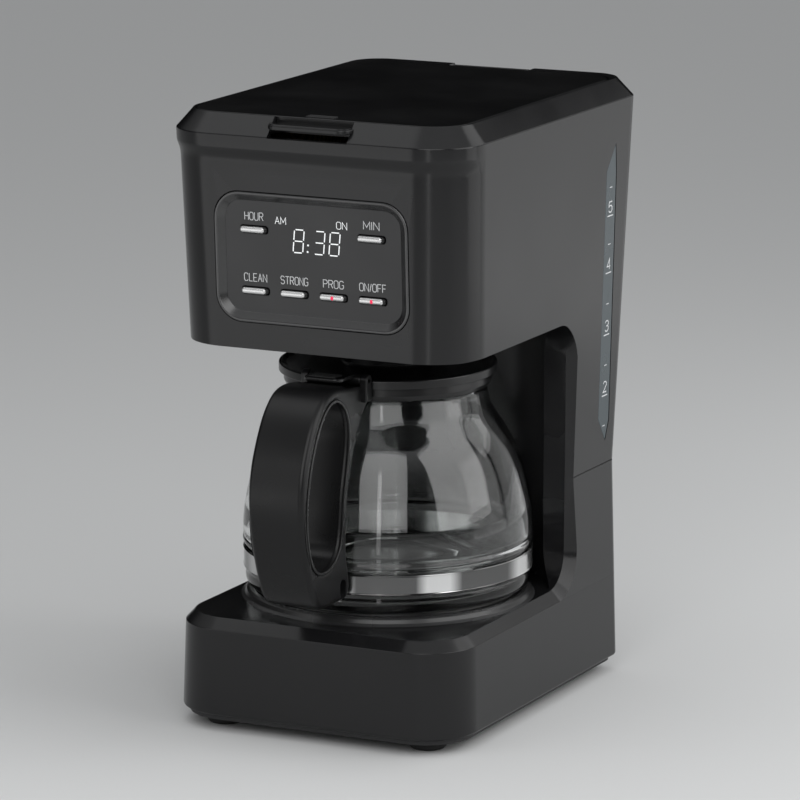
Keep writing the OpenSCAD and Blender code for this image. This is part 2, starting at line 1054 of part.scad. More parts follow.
module carafe_handle()
{
    half = handle_w / 2;
    color(shadow)
        difference() {
            union() {
                rotate([90, 0, 90])
                    translate([0, 0, -half])
                        linear_extrude(handle_w)
                            difference() {
                                polygon(rounded(handle_edge, 2));
                                polygon(rounded(handle_hole, 2));
                            }
                for (s = [-1, 1])
                    translate([s * (half + 0.75) - 1.75, carafe_hinge_y - 2.6, carafe_hinge_z - 9])
                        cube([3.5, 5.2, 11.6]);
            }
            translate([0, axis_y, 0])
                cylinder(r = collar_r + fit_gap, h = 170);
            translate([0, axis_y, band_z - 3])
                cylinder(r = 61.8 + fit_gap + 0.8, h = band_h + 10);
            translate([-3, -77, band_z - 3])
                cube([6, 16, band_h + 6]);
            translate([-12.4, carafe_hinge_y - 16, carafe_hinge_z - 2.7])
                cube([24.8, 30, 20]);
            translate([0, axis_y, collar_z + collar_h - 1.1])
                cylinder(r = carafe_lid_r + 0.2, h = 20);
            along_x(1.2 + fit_gap, -17, 17, carafe_hinge_y, carafe_hinge_z);
            along_x(1.6 + fit_gap, -9, 9, band_screw_y, band_screw_z);
            along_x(3.5, 7.5, 20, band_screw_y, band_screw_z);
        }
}

// ---------- assembly ----------

upper_housing();
base_housing();
bottom_cover();
cover_screws();
feet();
cord_gland();
warming_plate();
plate_ring();
heating_element();
element_bracket();
bracket_screws();
thermostat();
thermal_fuses();
cold_water_hose();
hot_water_hose();
hose_clamps();
check_valve_body();
check_valve_ball();
riser_tube();
water_tank();
level_window();
water_spout();
water_spreader();
brew_well();
brew_basket();
mesh_filter();
drip_stop_plunger();
drip_stop_spring();
drip_stop_seal();
top_deck();
panel_bezel();
control_panel();
display_window();
display_module();
control_board();
tact_switches();
board_screws();
button_hour();
button_minute();
button_clean();
button_strong();
button_program();
button_power();
program_lamp();
power_lamp();
top_lid();
lid_pin();
carafe_glass();
carafe_band();
carafe_collar();
carafe_lid();
carafe_lid_pin();
carafe_handle();
band_screw();
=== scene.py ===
"""Looks for the small drip coffee maker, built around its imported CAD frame.

Shapes are worked out in millimetres and become metres when a mesh is made.
"""

import math

import bmesh
import bpy
from mathutils import Matrix, Vector
from mathutils.geometry import tessellate_polygon


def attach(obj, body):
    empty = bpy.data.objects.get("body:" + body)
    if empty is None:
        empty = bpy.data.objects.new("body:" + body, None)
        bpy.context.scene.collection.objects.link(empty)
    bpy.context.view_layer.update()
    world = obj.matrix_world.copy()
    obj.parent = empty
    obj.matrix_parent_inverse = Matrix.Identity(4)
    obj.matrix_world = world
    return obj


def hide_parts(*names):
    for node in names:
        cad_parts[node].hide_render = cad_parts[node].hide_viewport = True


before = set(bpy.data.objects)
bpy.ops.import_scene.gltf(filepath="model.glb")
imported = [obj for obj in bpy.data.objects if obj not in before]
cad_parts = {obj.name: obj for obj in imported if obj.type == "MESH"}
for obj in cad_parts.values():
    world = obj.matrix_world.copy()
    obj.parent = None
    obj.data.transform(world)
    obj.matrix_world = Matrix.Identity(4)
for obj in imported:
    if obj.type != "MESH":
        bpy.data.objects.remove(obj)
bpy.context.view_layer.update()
scene = bpy.context.scene
scene.view_settings.view_transform = "Standard"

MM = 0.001

# The body's own dimensions, as in the CAD source.
BODY_HALF, WAIST_HALF, FOOT_HALF = 70, 66, 68.5
TOP, RIM, HEAD, SEAM, DECK, BASE_BOTTOM = 265, 257, 166, 96, 49, 7
BACK, BACK_LOW = 108.5, 94.5
FRONT_TOP, FRONT_BASE, FRONT_LEAN = -77, -80.5, 0.05
FRONT_R, BACK_R, BACK_R_TOP, WALL = 24, 8, 12, 2.5
ABOVE = TOP + 5  # Height clear of the body, where cuts from above end.
UNDER_DECK = DECK - 8
RIM_INSET, DECK_INSET, DECK_CHAMFER = 6, 4.2, 4.5
LIP_OUT = 1.5
AXIS_Y, TOWER_Y, BOW_R, BAY_R = -2, 44, 70, 16
TANK_TOP = 244
POCKET_HALF, POCKET_FRONT, POCKET_BACK = 63, -70, 99.5
HINGE_Y, HINGE_Z, TAB_HALF, TAB_DEPTH, LID_T = 101.5, 262.5, 19.5, 11.5, 3.2
PANEL_Z, PANEL_HALF_X, PANEL_HALF_Y = 205.4, 45.2, 28.2
PANEL_FACE, PANEL_BACK, PANEL_R, PANEL_GAP = -2, -4, 12, 0.25
BUTTON_X, UPPER_ROW, LOWER_ROW = (-27.3, -9.1, 9.1, 27.3), 11.6, -14.6
BUTTON_HALF_X, BUTTON_HALF_Y = 6.3, 1.5
PLATE_TOP = 53
GLASS_BOTTOM, GLASS_WALL, COLLAR_Z, COLLAR_H, CARAFE_LID_R = 53.3, 2.2, 142, 6.5, 47
BAND_Z, BAND_H, BAND_R = 62.3, 8.4, 61.85
CARAFE_HINGE_Y, CARAFE_HINGE_Z = -51.5, 152.6
HANDLE_HALF = 13
BAND_SCREW_Y, BAND_SCREW_Z = -71.5, 66.5


# ---------- outlines ----------

def fillet(points, radii, steps=5):
    """Closed outline with each corner replaced by an arc of its radius."""
    made = []
    count = len(points)
    for i, radius in enumerate(radii):
        corner = Vector(points[i])
        to_last = Vector(points[i - 1]) - corner
        to_next = Vector(points[(i + 1) % count]) - corner
        half = to_last.angle(to_next) / 2
        if radius <= 0 or half > math.radians(89.5):
            made.append(tuple(corner))
            continue
        reach = min(radius / math.tan(half), 0.49 * to_last.length, 0.49 * to_next.length)
        radius = reach * math.tan(half)
        bisector = (to_last.normalized() + to_next.normalized()).normalized()
        centre = corner + bisector * (radius / math.sin(half))
        start = corner + to_last.normalized() * reach - centre
        end = corner + to_next.normalized() * reach - centre
        sweep = start.angle(end)
        for k in range(steps + 1):
            share = k / steps
            arm = start * math.sin((1 - share) * sweep) + end * math.sin(share * sweep)
            made.append(tuple(centre + arm / math.sin(sweep)))
    return made


def rounded_box(half, front, back, front_r, back_r, steps=12):
    """Rounded rectangle from its half width and its front and back edges."""
    corners = [(-half, front), (half, front), (half, back), (-half, back)]
    return fillet(corners, [front_r, front_r, back_r, back_r], steps)


def pill(half_x, half_y, radius, steps=8):
    return rounded_box(half_x, -half_y, half_y, radius, radius, steps)


def circle(radius, count=120, centre=(0, AXIS_Y)):
    turns = [2 * math.pi * k / count for k in range(count)]
    return [(centre[0] + radius * math.cos(a), centre[1] + radius * math.sin(a)) for a in turns]


def cut_corners(points, passes):
    """Closed outline made smooth by cutting its corners again and again."""
    for _ in range(passes):
        cut = []
        for i, p in enumerate(points):
            q = points[(i + 1) % len(points)]
            for share in (0.25, 0.75):
                cut.append((p[0] + (q[0] - p[0]) * share, p[1] + (q[1] - p[1]) * share))
        points = cut
    return points


def turning(points, anticlockwise=True):
    """The outline, reversed if it doesn't run the way that is asked for."""
    area = sum(p[0] * q[1] - q[0] * p[1] for p, q in zip(points, points[1:] + points[:1]))
    return points if (area > 0) == anticlockwise else points[::-1]


def inset(points, distance):
    """Outline shifted to its own left: inwards when it runs anticlockwise."""
    shifted = []
    for i, p in enumerate(points):
        before = (Vector(p) - Vector(points[i - 1])).normalized()
        after = (Vector(points[(i + 1) % len(points)]) - Vector(p)).normalized()
        along = (before + after).normalized()
        stretch = max(0.5, along.dot(after))
        shifted.append((p[0] - along.y * distance / stretch, p[1] + along.x * distance / stretch))
    return shifted


# ---------- solids ----------

def level(outline, z):
    return [(x, y, z) for x, y in outline]


def loft(rings, closed=False):
    """Skin over rings of equal length, capped at both ends unless it closes on itself."""
    n = len(rings[0])
    vertices = [p for ring in rings for p in ring]
    faces = []
    for k in range(len(rings) if closed else len(rings) - 1):
        low, high = k * n, (k + 1) % len(rings) * n
        for i in range(n):
            j = (i + 1) % n
            faces.append((low + i, low + j, high + j, high + i))
    if not closed:
        faces.append(tuple(range(n))[::-1])
        faces.append(tuple(range(len(vertices) - n, len(vertices))))
    return vertices, faces


def rounding(z, bevel, way, steps):
    """Levels (height, shrink) of one rounded edge, from the flat face inwards."""
    if not bevel:
        return [(z, 0)]
    turns = [math.pi / 2 * k / steps for k in range(steps + 1)]
    return [(z + way * bevel * (1 - math.cos(a)), bevel * (1 - math.sin(a))) for a in turns]


def prism(outline, low, high, bevel=0.4, holes=(), steps=3, bottom_bevel=None):
    """Plate between two heights with rounded edges, and holes through it."""
    bottom_bevel = bevel if bottom_bevel is None else bottom_bevel
    loops = [turning(list(outline))] + [turning(list(h), False) for h in holes]
    levels = rounding(low, bottom_bevel, 1, steps) + rounding(high, bevel, -1, steps)[::-1]
    vertices, faces, caps = [], [], {0: [], len(levels) - 1: []}
    for loop in loops:
        n = len(loop)
        start = len(vertices)
        for k, (z, shrink) in enumerate(levels):
            ring = level(inset(loop, shrink) if shrink else loop, z)
            if k in caps:
                caps[k].append([(len(vertices) + i, Vector((p[0], p[1], 0))) for i, p in enumerate(ring)])
            vertices += ring
        for k in range(len(levels) - 1):
            for i in range(n):
                j = (i + 1) % n
                a, b = start + k * n, start + (k + 1) * n
                faces.append((a + i, a + j, b + j, b + i))
    for k, cap in caps.items():
        index = [i for loop in cap for i, _ in loop]
        for tri in tessellate_polygon([[p for _, p in loop] for loop in cap]):
            faces.append(tuple(index[i] for i in tri))
    return vertices, faces


def lathe(profile, steps=96, centre=(0, AXIS_Y)):
    """Closed outline of radius and height turned about an upright axis."""
    rings = []
    for k in range(steps):
        a = 2 * math.pi * k / steps
        rings.append([(centre[0] + r * math.sin(a), centre[1] - r * math.cos(a), z) for r, z in profile])
    return loft(rings, closed=True)


def rod(radius, x0, x1, y, z, bevel=0.3, steps=24):
    """Round bar along X with softened ends."""
    ends = [(x0, radius - bevel), (x0 + bevel, radius), (x1 - bevel, radius), (x1, radius - bevel)]
    return loft([[(x, *p) for p in circle(r, steps, (y, z))] for x, r in ends])


def moved(shape, matrix):
    return [tuple(matrix @ Vector(v)) for v in shape[0]], shape[1]


def at(shape, x, y, z=0):
    return moved(shape, Matrix.Translation((x, y, z)))


def joined(*shapes):
    vertices, faces = [], []
    for shape in shapes:
        start = len(vertices)
        vertices += shape[0]
        faces += [tuple(start + i for i in f) for f in shape[1]]
    return vertices, faces


def ribbon(line, width, low, high, closed=False):
    """Flat stroke of constant width along a line of points."""
    last = len(line) - 1
    sides = []
    for i, p in enumerate(line):
        before = Vector(p) - Vector(line[i - 1]) if i or closed else None
        after = Vector(line[(i + 1) % len(line)]) - Vector(p) if i < last or closed else None
        ways = [w.normalized() for w in (before, after) if w is not None]
        along = sum(ways, Vector((0, 0))).normalized()
        reach = width / 2 / max(0.4, along.dot(ways[0]))
        sides.append((Vector((-along.y, along.x)) * reach, Vector(p)))
    rings = []
    for across, p in sides:
        left, right = p + across, p - across
        rings.append([(left.x, left.y, low), (right.x, right.y, low),
                      (right.x, right.y, high), (left.x, left.y, high)])
    return loft(rings, closed)


# ---------- meshes ----------

def tidy(obj):
    """Joins doubled points and turns all faces outwards."""
    bm = bmesh.new()
    bm.from_mesh(obj.data)
    bmesh.ops.remove_doubles(bm, verts=bm.verts, dist=0.001 * MM)
    bmesh.ops.recalc_face_normals(bm, faces=bm.faces)
    bm.to_mesh(obj.data)
    bm.free()


def add_object(name, data):
    obj = bpy.data.objects.new(name, data)
    scene.collection.objects.link(obj)
    return obj


def solid(name, shape):
    """Mesh object from a shape in millimetres."""
    mesh = bpy.data.meshes.new(name)
    mesh.from_pydata([Vector(v) * MM for v in shape[0]], [], shape[1])
    obj = add_object(name, mesh)
    tidy(obj)
    return obj


def combine(obj, shape, operation="DIFFERENCE"):
    """Cuts a shape from a mesh object, or adds it."""
    combine_meshes(obj, solid("tool", shape), operation)


def combine_meshes(obj, tool, operation="DIFFERENCE"):
    """The same with a mesh object as the tool, which is used up."""
    modifier = obj.modifiers.new("combine", "BOOLEAN")
    modifier.object = tool
    modifier.operation = operation
    modifier.solver = "EXACT"
    graph = bpy.context.evaluated_depsgraph_get()
    made = bpy.data.meshes.new_from_object(obj.evaluated_get(graph))
    obj.modifiers.clear()
    obj.data = made
    bpy.data.objects.remove(tool)


def soften(obj, width, angle=32, skip=lambda middle: False, segments=3):
    """Rounds every edge that turns more than the angle, except where skip says so."""
    bm = bmesh.new()
    bm.from_mesh(obj.data)
    bmesh.ops.remove_doubles(bm, verts=bm.verts, dist=0.02 * MM)
    bmesh.ops.dissolve_limit(bm, angle_limit=math.radians(0.3), verts=bm.verts, edges=bm.edges)
    crisp = []
    for edge in bm.edges:
        if len(edge.link_faces) != 2 or edge.calc_face_angle() < math.radians(angle):
            continue
        middle = (edge.verts[0].co + edge.verts[1].co) / (2 * MM)
        if not skip(middle):
            crisp.append(edge)
    bmesh.ops.bevel(bm, geom=crisp, offset=width * MM, segments=segments, profile=0.5,
                    affect="EDGES", clamp_overlap=True)
    bm.to_mesh(obj.data)
    bm.free()


def finish_piece(obj, material, body, nodes=(), sharp=38):
    """Shading, material, body and CAD stand-in of a finished mesh."""
    tidy(obj)
    obj.data.shade_smooth()
    obj.data.set_sharp_from_angle(angle=math.radians(sharp))
    obj.data.materials.clear()
    obj.data.materials.append(material)
    modifier = obj.modifiers.new("even_normals", "WEIGHTED_NORMAL")
    modifier.keep_sharp = True
    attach(obj, body)
    if nodes:
        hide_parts(*nodes)


def piece(name, shape, material, body, nodes=(), sharp=38):
    finish_piece(solid(name, shape), material, body, nodes, sharp)


# ---------- materials ----------

OUTER_EDGE = (0.505, 0.56)  # Pointiness from flat surface to a sharply rounded outer edge.


def principled(name):
    material = bpy.data.materials.new(name)
    material.use_nodes = True
    return material, material.node_tree, material.node_tree.nodes["Principled BSDF"]


def feed(tree, node, **inputs):
    """Links each socket that is given to the node's input of that name, and stores each plain value."""
    for name, value in inputs.items():
        target = node.inputs[name.replace("_", " ")]
        if isinstance(value, bpy.types.NodeSocket):
            tree.links.new(value, target)
        else:
            target.default_value = value


def noise(tree, scale, detail=4, stretch=(1, 1, 1)):
    """Noise over the object's own coordinates. Scale is in features per metre."""
    place = tree.nodes.new("ShaderNodeTexCoord")
    mapping = tree.nodes.new("ShaderNodeMapping")
    texture = tree.nodes.new("ShaderNodeTexNoise")
    feed(tree, mapping, Vector=place.outputs["Object"], Scale=stretch)
    feed(tree, texture, Vector=mapping.outputs["Vector"], Scale=scale, Detail=detail)
    return texture.outputs["Fac"]


def between(tree, factor, low, high, spread=(0.3, 0.7)):
    """Number that runs from low to high as the factor crosses the spread."""
    node = tree.nodes.new("ShaderNodeMapRange")
    feed(tree, node, Value=factor, From_Min=spread[0], From_Max=spread[1], To_Min=low, To_Max=high)
    return node.outputs["Result"]


def blend_colour(tree, factor, first, second):
    """Colour that runs from the first to the second. Each is three numbers or a socket."""
    node = tree.nodes.new("ShaderNodeMix")
    node.data_type = "RGBA"
    for socket, value in (("A", first), ("B", second)):
        target = next(s for s in node.inputs if s.name == socket and s.type == "RGBA")
        if isinstance(value, tuple):
            target.default_value = (*value, 1)
        else:
            tree.links.new(value, target)
    feed(tree, node, Factor=factor)
    return next(s for s in node.outputs if s.type == "RGBA")


def bump(tree, shader, height, strength, distance=0.1):
    node = tree.nodes.new("ShaderNodeBump")
    feed(tree, node, Height=height, Strength=strength, Distance=distance * MM)
    feed(tree, shader, Normal=node.outputs["Normal"])


def scaled(colour, factor):
    return tuple(min(1.0, c * factor) for c in colour)


def surface(name, colour, roughness, grain=1400, depth=0.12, uneven=0.05, metallic=0.0,
            edge_lightening=0.25, **constants):
    """Moulded or metal surface: fine grain, uneven gloss, slightly lighter edges."""
    material, tree, shader = principled(name)
    soft = noise(tree, 28, 3)
    fine = noise(tree, grain, 2)
    body_colour = blend_colour(tree, soft, scaled(colour, 0.92), scaled(colour, 1.08))
    geometry = tree.nodes.new("ShaderNodeNewGeometry")
    # Colour made lighter on sharply rounded outer edges.
    edges = between(tree, geometry.outputs["Pointiness"], 0, edge_lightening, OUTER_EDGE)
    edge_colour = scaled(colour, 3) if max(colour) < 0.2 else colour
    feed(tree, shader, Base_Color=blend_colour(tree, edges, body_colour, edge_colour), Metallic=metallic,
         Roughness=between(tree, soft, roughness - uneven, roughness + uneven), **constants)
    bump(tree, shader, fine, depth)
    return material


def carafe_glass_material():
    """Clear glass with faint wiping marks in its gloss."""
    material, tree, shader = principled("clear_glass")
    marks = noise(tree, 18, 5, (1, 1, 0.3))
    feed(tree, shader, Base_Color=(0.97, 0.985, 0.98, 1), Transmission_Weight=1, IOR=1.47,
         Roughness=between(tree, marks, 0.0, 0.025, (0.45, 0.75)))
    bump(tree, shader, noise(tree, 30, 1), 0.05)
    return material


def brushed_steel(name, stretch, roughness=0.2, painted_reflection_depth=0.1):
    """Bright steel with fine lines along one direction, and broad zones darkened in colour as a painted
    reflection of dark surroundings. The last argument is how dark these painted reflections get.
    """
    material, tree, shader = principled(name)
    colour = (0.84, 0.84, 0.84)
    lines = noise(tree, 900, 3, stretch)
    # Painted reflection: broad zones of the base colour darkened to stand for dark surroundings mirrored in
    # the steel.
    painted_reflection_zones = between(tree, noise(tree, 40, 0, (1, 1, 0.01)), 0, painted_reflection_depth, (0.42, 0.54))
    bright = blend_colour(tree, lines, scaled(colour, 0.86), colour)
    feed(tree, shader, Base_Color=blend_colour(tree, painted_reflection_zones, bright, scaled(colour, 0.12)), Metallic=1,
         Roughness=between(tree, lines, roughness - 0.05, roughness + 0.08))
    bump(tree, shader, lines, 0.08, 0.05)
    return material


def glowing(name, colour, strength):
    """Lamp, or print given a painted glow: its own light varies a little over the surface."""
    material, tree, shader = principled(name)
    tone = blend_colour(tree, noise(tree, 600, 2), scaled(colour, 0.85), colour)
    feed(tree, shader, Base_Color=tone, Emission_Color=tone, Emission_Strength=strength,
         Roughness=between(tree, noise(tree, 90), 0.35, 0.45))
    return material


def woven_mesh():
    """Fine filter cloth: two crossed sets of threads with dark gaps."""
    material, tree, shader = principled("filter_weave")
    place = tree.nodes.new("ShaderNodeTexCoord")
    both = tree.nodes.new("ShaderNodeMath")
    both.operation = "MULTIPLY"
    for direction, factor in zip("XY", both.inputs):
        wave = tree.nodes.new("ShaderNodeTexWave")
        wave.bands_direction = direction
        feed(tree, wave, Vector=place.outputs["Object"], Scale=350)
        tree.links.new(wave.outputs["Fac"], factor)
    threads = both.outputs["Value"]
    feed(tree, shader, Base_Color=blend_colour(tree, threads, (0.09, 0.065, 0.03), (0.42, 0.32, 0.17)),
         Roughness=between(tree, threads, 0.6, 0.4))
    bump(tree, shader, threads, 0.4, 0.2)
    return material


BLACK = (0.007, 0.007, 0.0075)
housing_black = surface("housing_black", BLACK, 0.20, depth=0.05, uneven=0.03, Specular_IOR_Level=0.36)
lid_black = surface("lid_black", (0.004, 0.004, 0.0043), 0.24, depth=0.05, uneven=0.03, edge_lightening=0.5,
                    Specular_IOR_Level=0.4)
panel_black = surface("panel_black", (0.014, 0.014, 0.015), 0.34, grain=2200, depth=0.05, edge_lightening=0.0)
bezel_black = surface("bezel_black", (0.010, 0.010, 0.0105), 0.22, depth=0.04, Specular_IOR_Level=1.0)
trim_black = surface("trim_black", (0.005, 0.005, 0.0053), 0.24, depth=0.05, Specular_IOR_Level=0.4)
handle_black = surface("handle_black", (0.005, 0.005, 0.0053), 0.29, depth=0.08, Specular_IOR_Level=0.28)
cover_black = surface("cover_black", (0.010, 0.010, 0.011), 0.55, depth=0.3)
inner_black = surface("inner_black", (0.008, 0.008, 0.0085), 0.45, depth=0.2)
key_silver = surface("key_silver", (0.70, 0.70, 0.70), 0.25, metallic=0.9, depth=0.02, edge_lightening=0.0)
window_slate = surface("window_slate", (0.028, 0.040, 0.046), 0.28, depth=0.03, edge_lightening=0.4)
plate_enamel = surface("plate_enamel", (0.006, 0.006, 0.006), 0.36, grain=2600, depth=0.3)
ring_grey = surface("ring_grey", (0.018, 0.018, 0.0185), 0.26, depth=0.05)
rubber = surface("rubber", (0.010, 0.010, 0.010), 0.8, grain=900, depth=0.4)
silicone = surface("silicone", (0.62, 0.62, 0.58), 0.5, Subsurface_Weight=0.2)
cast_alloy = surface("cast_alloy", (0.52, 0.52, 0.53), 0.45, grain=1100, depth=0.5, metallic=0.9)
ceramic_white = surface("ceramic_white", (0.78, 0.77, 0.72), 0.4, depth=0.15)
valve_white = surface("valve_white", (0.75, 0.76, 0.73), 0.38)
tank_smoke = surface("tank_smoke", (0.05, 0.055, 0.06), 0.3, depth=0.05)
seal_red = surface("seal_red", (0.35, 0.07, 0.05), 0.6, depth=0.3)
board_green = surface("board_green", (0.02, 0.11, 0.05), 0.4, grain=700, depth=0.15)
clear_glass = carafe_glass_material()
# The band's broad dark zones are strong painted reflection.
band_steel = brushed_steel("band_steel", (1, 1, 14), roughness=0.14, painted_reflection_depth=0.95)
bright_steel = brushed_steel("bright_steel", (14, 1, 1))
lamp_red = glowing("lamp_red", (0.75, 0.02, 0.08), 0.6)
# Printed ink with a painted glow: its emission makes it shine though it is no lamp.
print_painted_glow = glowing("print_painted_glow", (0.60, 0.61, 0.62), 0.16)
digit_white = glowing("digit_white", (0.85, 0.87, 0.88), 0.5)
filter_weave = woven_mesh()


# ---------- housings ----------

def mix(a, b, share):
    return a + (b - a) * share


def upper_half(z):
    return mix(WAIST_HALF, BODY_HALF, (z - SEAM) / (RIM - SEAM))


def upper_back(z):
    return mix(BACK_LOW, BACK, (z - SEAM) / (RIM - SEAM))


def upper_front(z):
    return FRONT_TOP + FRONT_LEAN * (RIM - z)


def lower_half(z):
    return mix(FOOT_HALF, WAIST_HALF, (z - BASE_BOTTOM) / (SEAM - BASE_BOTTOM))


def side_half(z):
    return upper_half(z) if z > SEAM else lower_half(z)


def smooth_step(share):
    share = min(1, max(0, share))
    return share * share * (3 - 2 * share)


def upper_ring(z, shrink=0, lip=0, back_shrink=None):
    """Level of the upper shell. Lip pushes the front and its corners outwards."""
    back_shrink = shrink if back_shrink is None else back_shrink
    wall_z = min(z, RIM)
    back_r = mix(BACK_R, BACK_R_TOP, (wall_z - SEAM) / (RIM - SEAM))
    flat = rounded_box(upper_half(wall_z) - shrink, upper_front(wall_z) + shrink,
                       upper_back(wall_z) - back_shrink,
                       max(2, FRONT_R - shrink), max(2, back_r + mix(0, 2, (z - wall_z) / (TOP - RIM))))
    if lip:
        outwards = inset(flat, -1)
        pushed = []
        for p, q in zip(flat, outwards):
            way = Vector(q) - Vector(p)
            facing = smooth_step((-way.y / way.length - 0.1) / 0.5)
            pushed.append(tuple(Vector(p) + way.normalized() * lip * facing))
        flat = pushed
    return level(flat, z)


def arc_levels(corner, before, after, radius, steps=4):
    """Points that round the corner between two straight lines of (height, shrink)."""
    corner, before, after = Vector(corner), Vector(before), Vector(after)
    u, v = (before - corner).normalized(), (after - corner).normalized()
    half = u.angle(v) / 2
    reach = radius / math.tan(half)
    made = []
    for k in range(steps + 1):
        s = k / steps
        p = corner + u * reach * (1 - s) ** 2 + v * reach * s ** 2
        made.append((p.x, p.y))
    return made


def upper_shell():
    """Outer skin of the head and upper tower, with its lip and top chamfer."""
    rings = [upper_ring(SEAM, 0.35), upper_ring(SEAM + 0.35)]
    rings += [upper_ring(z) for z in (130, 170, 205, 240)]
    for k in range(9):
        share = k / 8
        rings.append(upper_ring(mix(RIM - 13, RIM - 4.8, share), 0, LIP_OUT * smooth_step(share ** 1.6)))
    rings.append(upper_ring(RIM - 4, 0, LIP_OUT))
    for z, shrink in arc_levels((RIM, 0), (RIM - 9, 0), (TOP, RIM_INSET), 1.2):
        rings.append(upper_ring(z, shrink, LIP_OUT * (1 - shrink / RIM_INSET), shrink / 2))
    for z, shrink in arc_levels((TOP, RIM_INSET), (RIM, 0), (TOP, RIM_INSET + 9), 0.5):
        rings.append(upper_ring(z, shrink, 0, shrink / 2))
    return loft(rings)


def upper_cavity():
    """Space inside the upper shell's walls."""
    low, high = SEAM - 1, TANK_TOP + 14
    return loft([upper_ring(z, WALL) for z in (low, 150, 200, high)])


def bay_path(grow):
    """Side view of the carafe bay: deck, tower front and head, with rounded corners."""
    far = -220
    corners = [(far, DECK), (TOWER_Y, DECK), (TOWER_Y, HEAD), (far, HEAD)]
    path = fillet(corners, [0, BAY_R, BAY_R, 0], 10)
    return inset(turning(path), -grow) if grow else turning(path)


def bay(grow=0.0, chamfer=DECK_CHAMFER):
    """Carafe bay. Towards the body's sides it opens by the chamfer, less so under the head."""
    plain = bay_path(grow)
    out = inset(plain, -1)
    rings = []
    for side, reach in ((-1, 6), (-1, -DECK_INSET), (1, -DECK_INSET), (1, 6)):
        share = 1 + reach / DECK_INSET
        ring = []
        for p, q in zip(plain, out):
            fade = 1 - 0.9 * smooth_step((p[1] - (HEAD - 26)) / 24)
            way = Vector(q) - Vector(p)
            y, z = Vector(p) + way * chamfer * share * fade
            ring.append((side * (side_half(p[1]) + reach), y, z))
        rings.append(ring)
    return loft(rings)


def bow(grow=0.0):
    """Hollow of the tower's front that follows the carafe."""
    low, high = DECK - grow, HEAD + grow
    return prism(circle(BOW_R + grow), low, high, 0)


def block(x0, x1, y0, y1, z0, z1, bevel=0.0):
    return prism([(x0, y0), (x1, y0), (x1, y1), (x0, y1)], z0, z1, bevel)


def on_panel(shape):
    """From the panel's own frame (across, up the face, outwards) to the body's."""
    tilt = Matrix.Rotation(math.radians(90) + math.atan(FRONT_LEAN), 4, "X")
    return moved(shape, Matrix.Translation((0, upper_front(PANEL_Z), PANEL_Z)) @ tilt)


def sideways(shape):
    """From a side view (y, z, thickness) to the body's frame."""
    return moved(shape, Matrix(((0, 0, 1, 0), (1, 0, 0, 0), (0, 1, 0, 0), (0, 0, 0, 1))))


def window_outline(grow):
    """Level window on the +X side, seen from the side."""
    points = [(71.5, 117), (79.5, 106.5), (83, 115), (83, 226), (81.5, 238), (72.5, 227)]
    return inset(turning(points), -grow) if grow else turning(points)


def build_upper_housing():
    obj = solid("head_shell", upper_shell())
    combine(obj, bay())
    combine(obj, bow())
    inside = solid("inside", upper_cavity())
    combine(inside, bay(WALL, 0))
    combine(inside, bow(WALL))
    combine_meshes(obj, inside)
    pocket = rounded_box(POCKET_HALF, POCKET_FRONT, POCKET_BACK, 16, 14)
    throat = rounded_box(POCKET_HALF - 3, POCKET_FRONT + 3, POCKET_BACK - 7, 13, 6)
    combine(obj, prism(pocket, TOP - LID_T, ABOVE, 0))
    combine(obj, prism(throat, TOP - 12, ABOVE, 0))
    combine(obj, block(-TAB_HALF + 1, TAB_HALF - 1, -90, FRONT_TOP + 9.2, RIM - 0.3, ABOVE))
    combine(obj, block(-TAB_HALF, TAB_HALF, HINGE_Y - 6, HINGE_Y + 16, HINGE_Z - 4, ABOVE))
    combine(obj, on_panel(prism(pill(PANEL_HALF_X, PANEL_HALF_Y, PANEL_R), -8, 6, 0)))
    combine(obj, sideways(prism(window_outline(0.15), WAIST_HALF - 6, BODY_HALF + 9, 0)))
    combine(obj, prism(circle(14, 48), HEAD - 3, HEAD + 6, 0))
    soften(obj, 0.45, skip=lambda p: p.z < SEAM + 1)
    finish_piece(obj, housing_black, "machine", ["upper_housing"])


def foot():
    """Foot with its chamfered deck edge."""
    def ring(z, shrink=0.0):
        half = lower_half(min(z, DECK - DECK_CHAMFER))
        front = FRONT_BASE + mix(0, 1, (z - BASE_BOTTOM) / 40)
        flat = rounded_box(half - shrink, front + shrink, BACK_LOW - shrink * 0.2,
                           max(4, FRONT_R - shrink), BACK_R)
        return level(flat, z)
    rim = DECK - DECK_CHAMFER
    rings = [ring(BASE_BOTTOM, 1.2), ring(BASE_BOTTOM + 0.4, 0.4), ring(BASE_BOTTOM + 1.2)]
    rings += [ring(z) for z in (18, 30)]
    rings += [ring(z, s) for z, s in arc_levels((rim, 0), (BASE_BOTTOM, 0), (DECK, DECK_INSET), 0.5)]
    rings += [ring(z, s) for z, s in arc_levels((DECK, DECK_INSET), (rim, 0), (DECK, 20), 0.5)]
    return loft(rings)


def tower():
    """Lower part of the tower, behind the deck."""
    rim = DECK - DECK_CHAMFER
    rings = []
    for z, shrink in ((rim, 0), (60, 0), (78, 0), (SEAM - 0.35, 0), (SEAM, 0.35)):
        flat = rounded_box(lower_half(z) - shrink, TOWER_Y - BAY_R + 0.01, BACK_LOW - shrink, 0, BACK_R)
        rings.append(level(flat, z))
    return loft(rings)


def lower_cavity(low, high, front, front_r, back_r):
    """Space inside the lower walls, between two heights."""
    rings = []
    for z in (low, high):
        flat = rounded_box(lower_half(z) - WALL, front, BACK_LOW - WALL, front_r, back_r)
        rings.append(level(flat, z))
    return loft(rings)


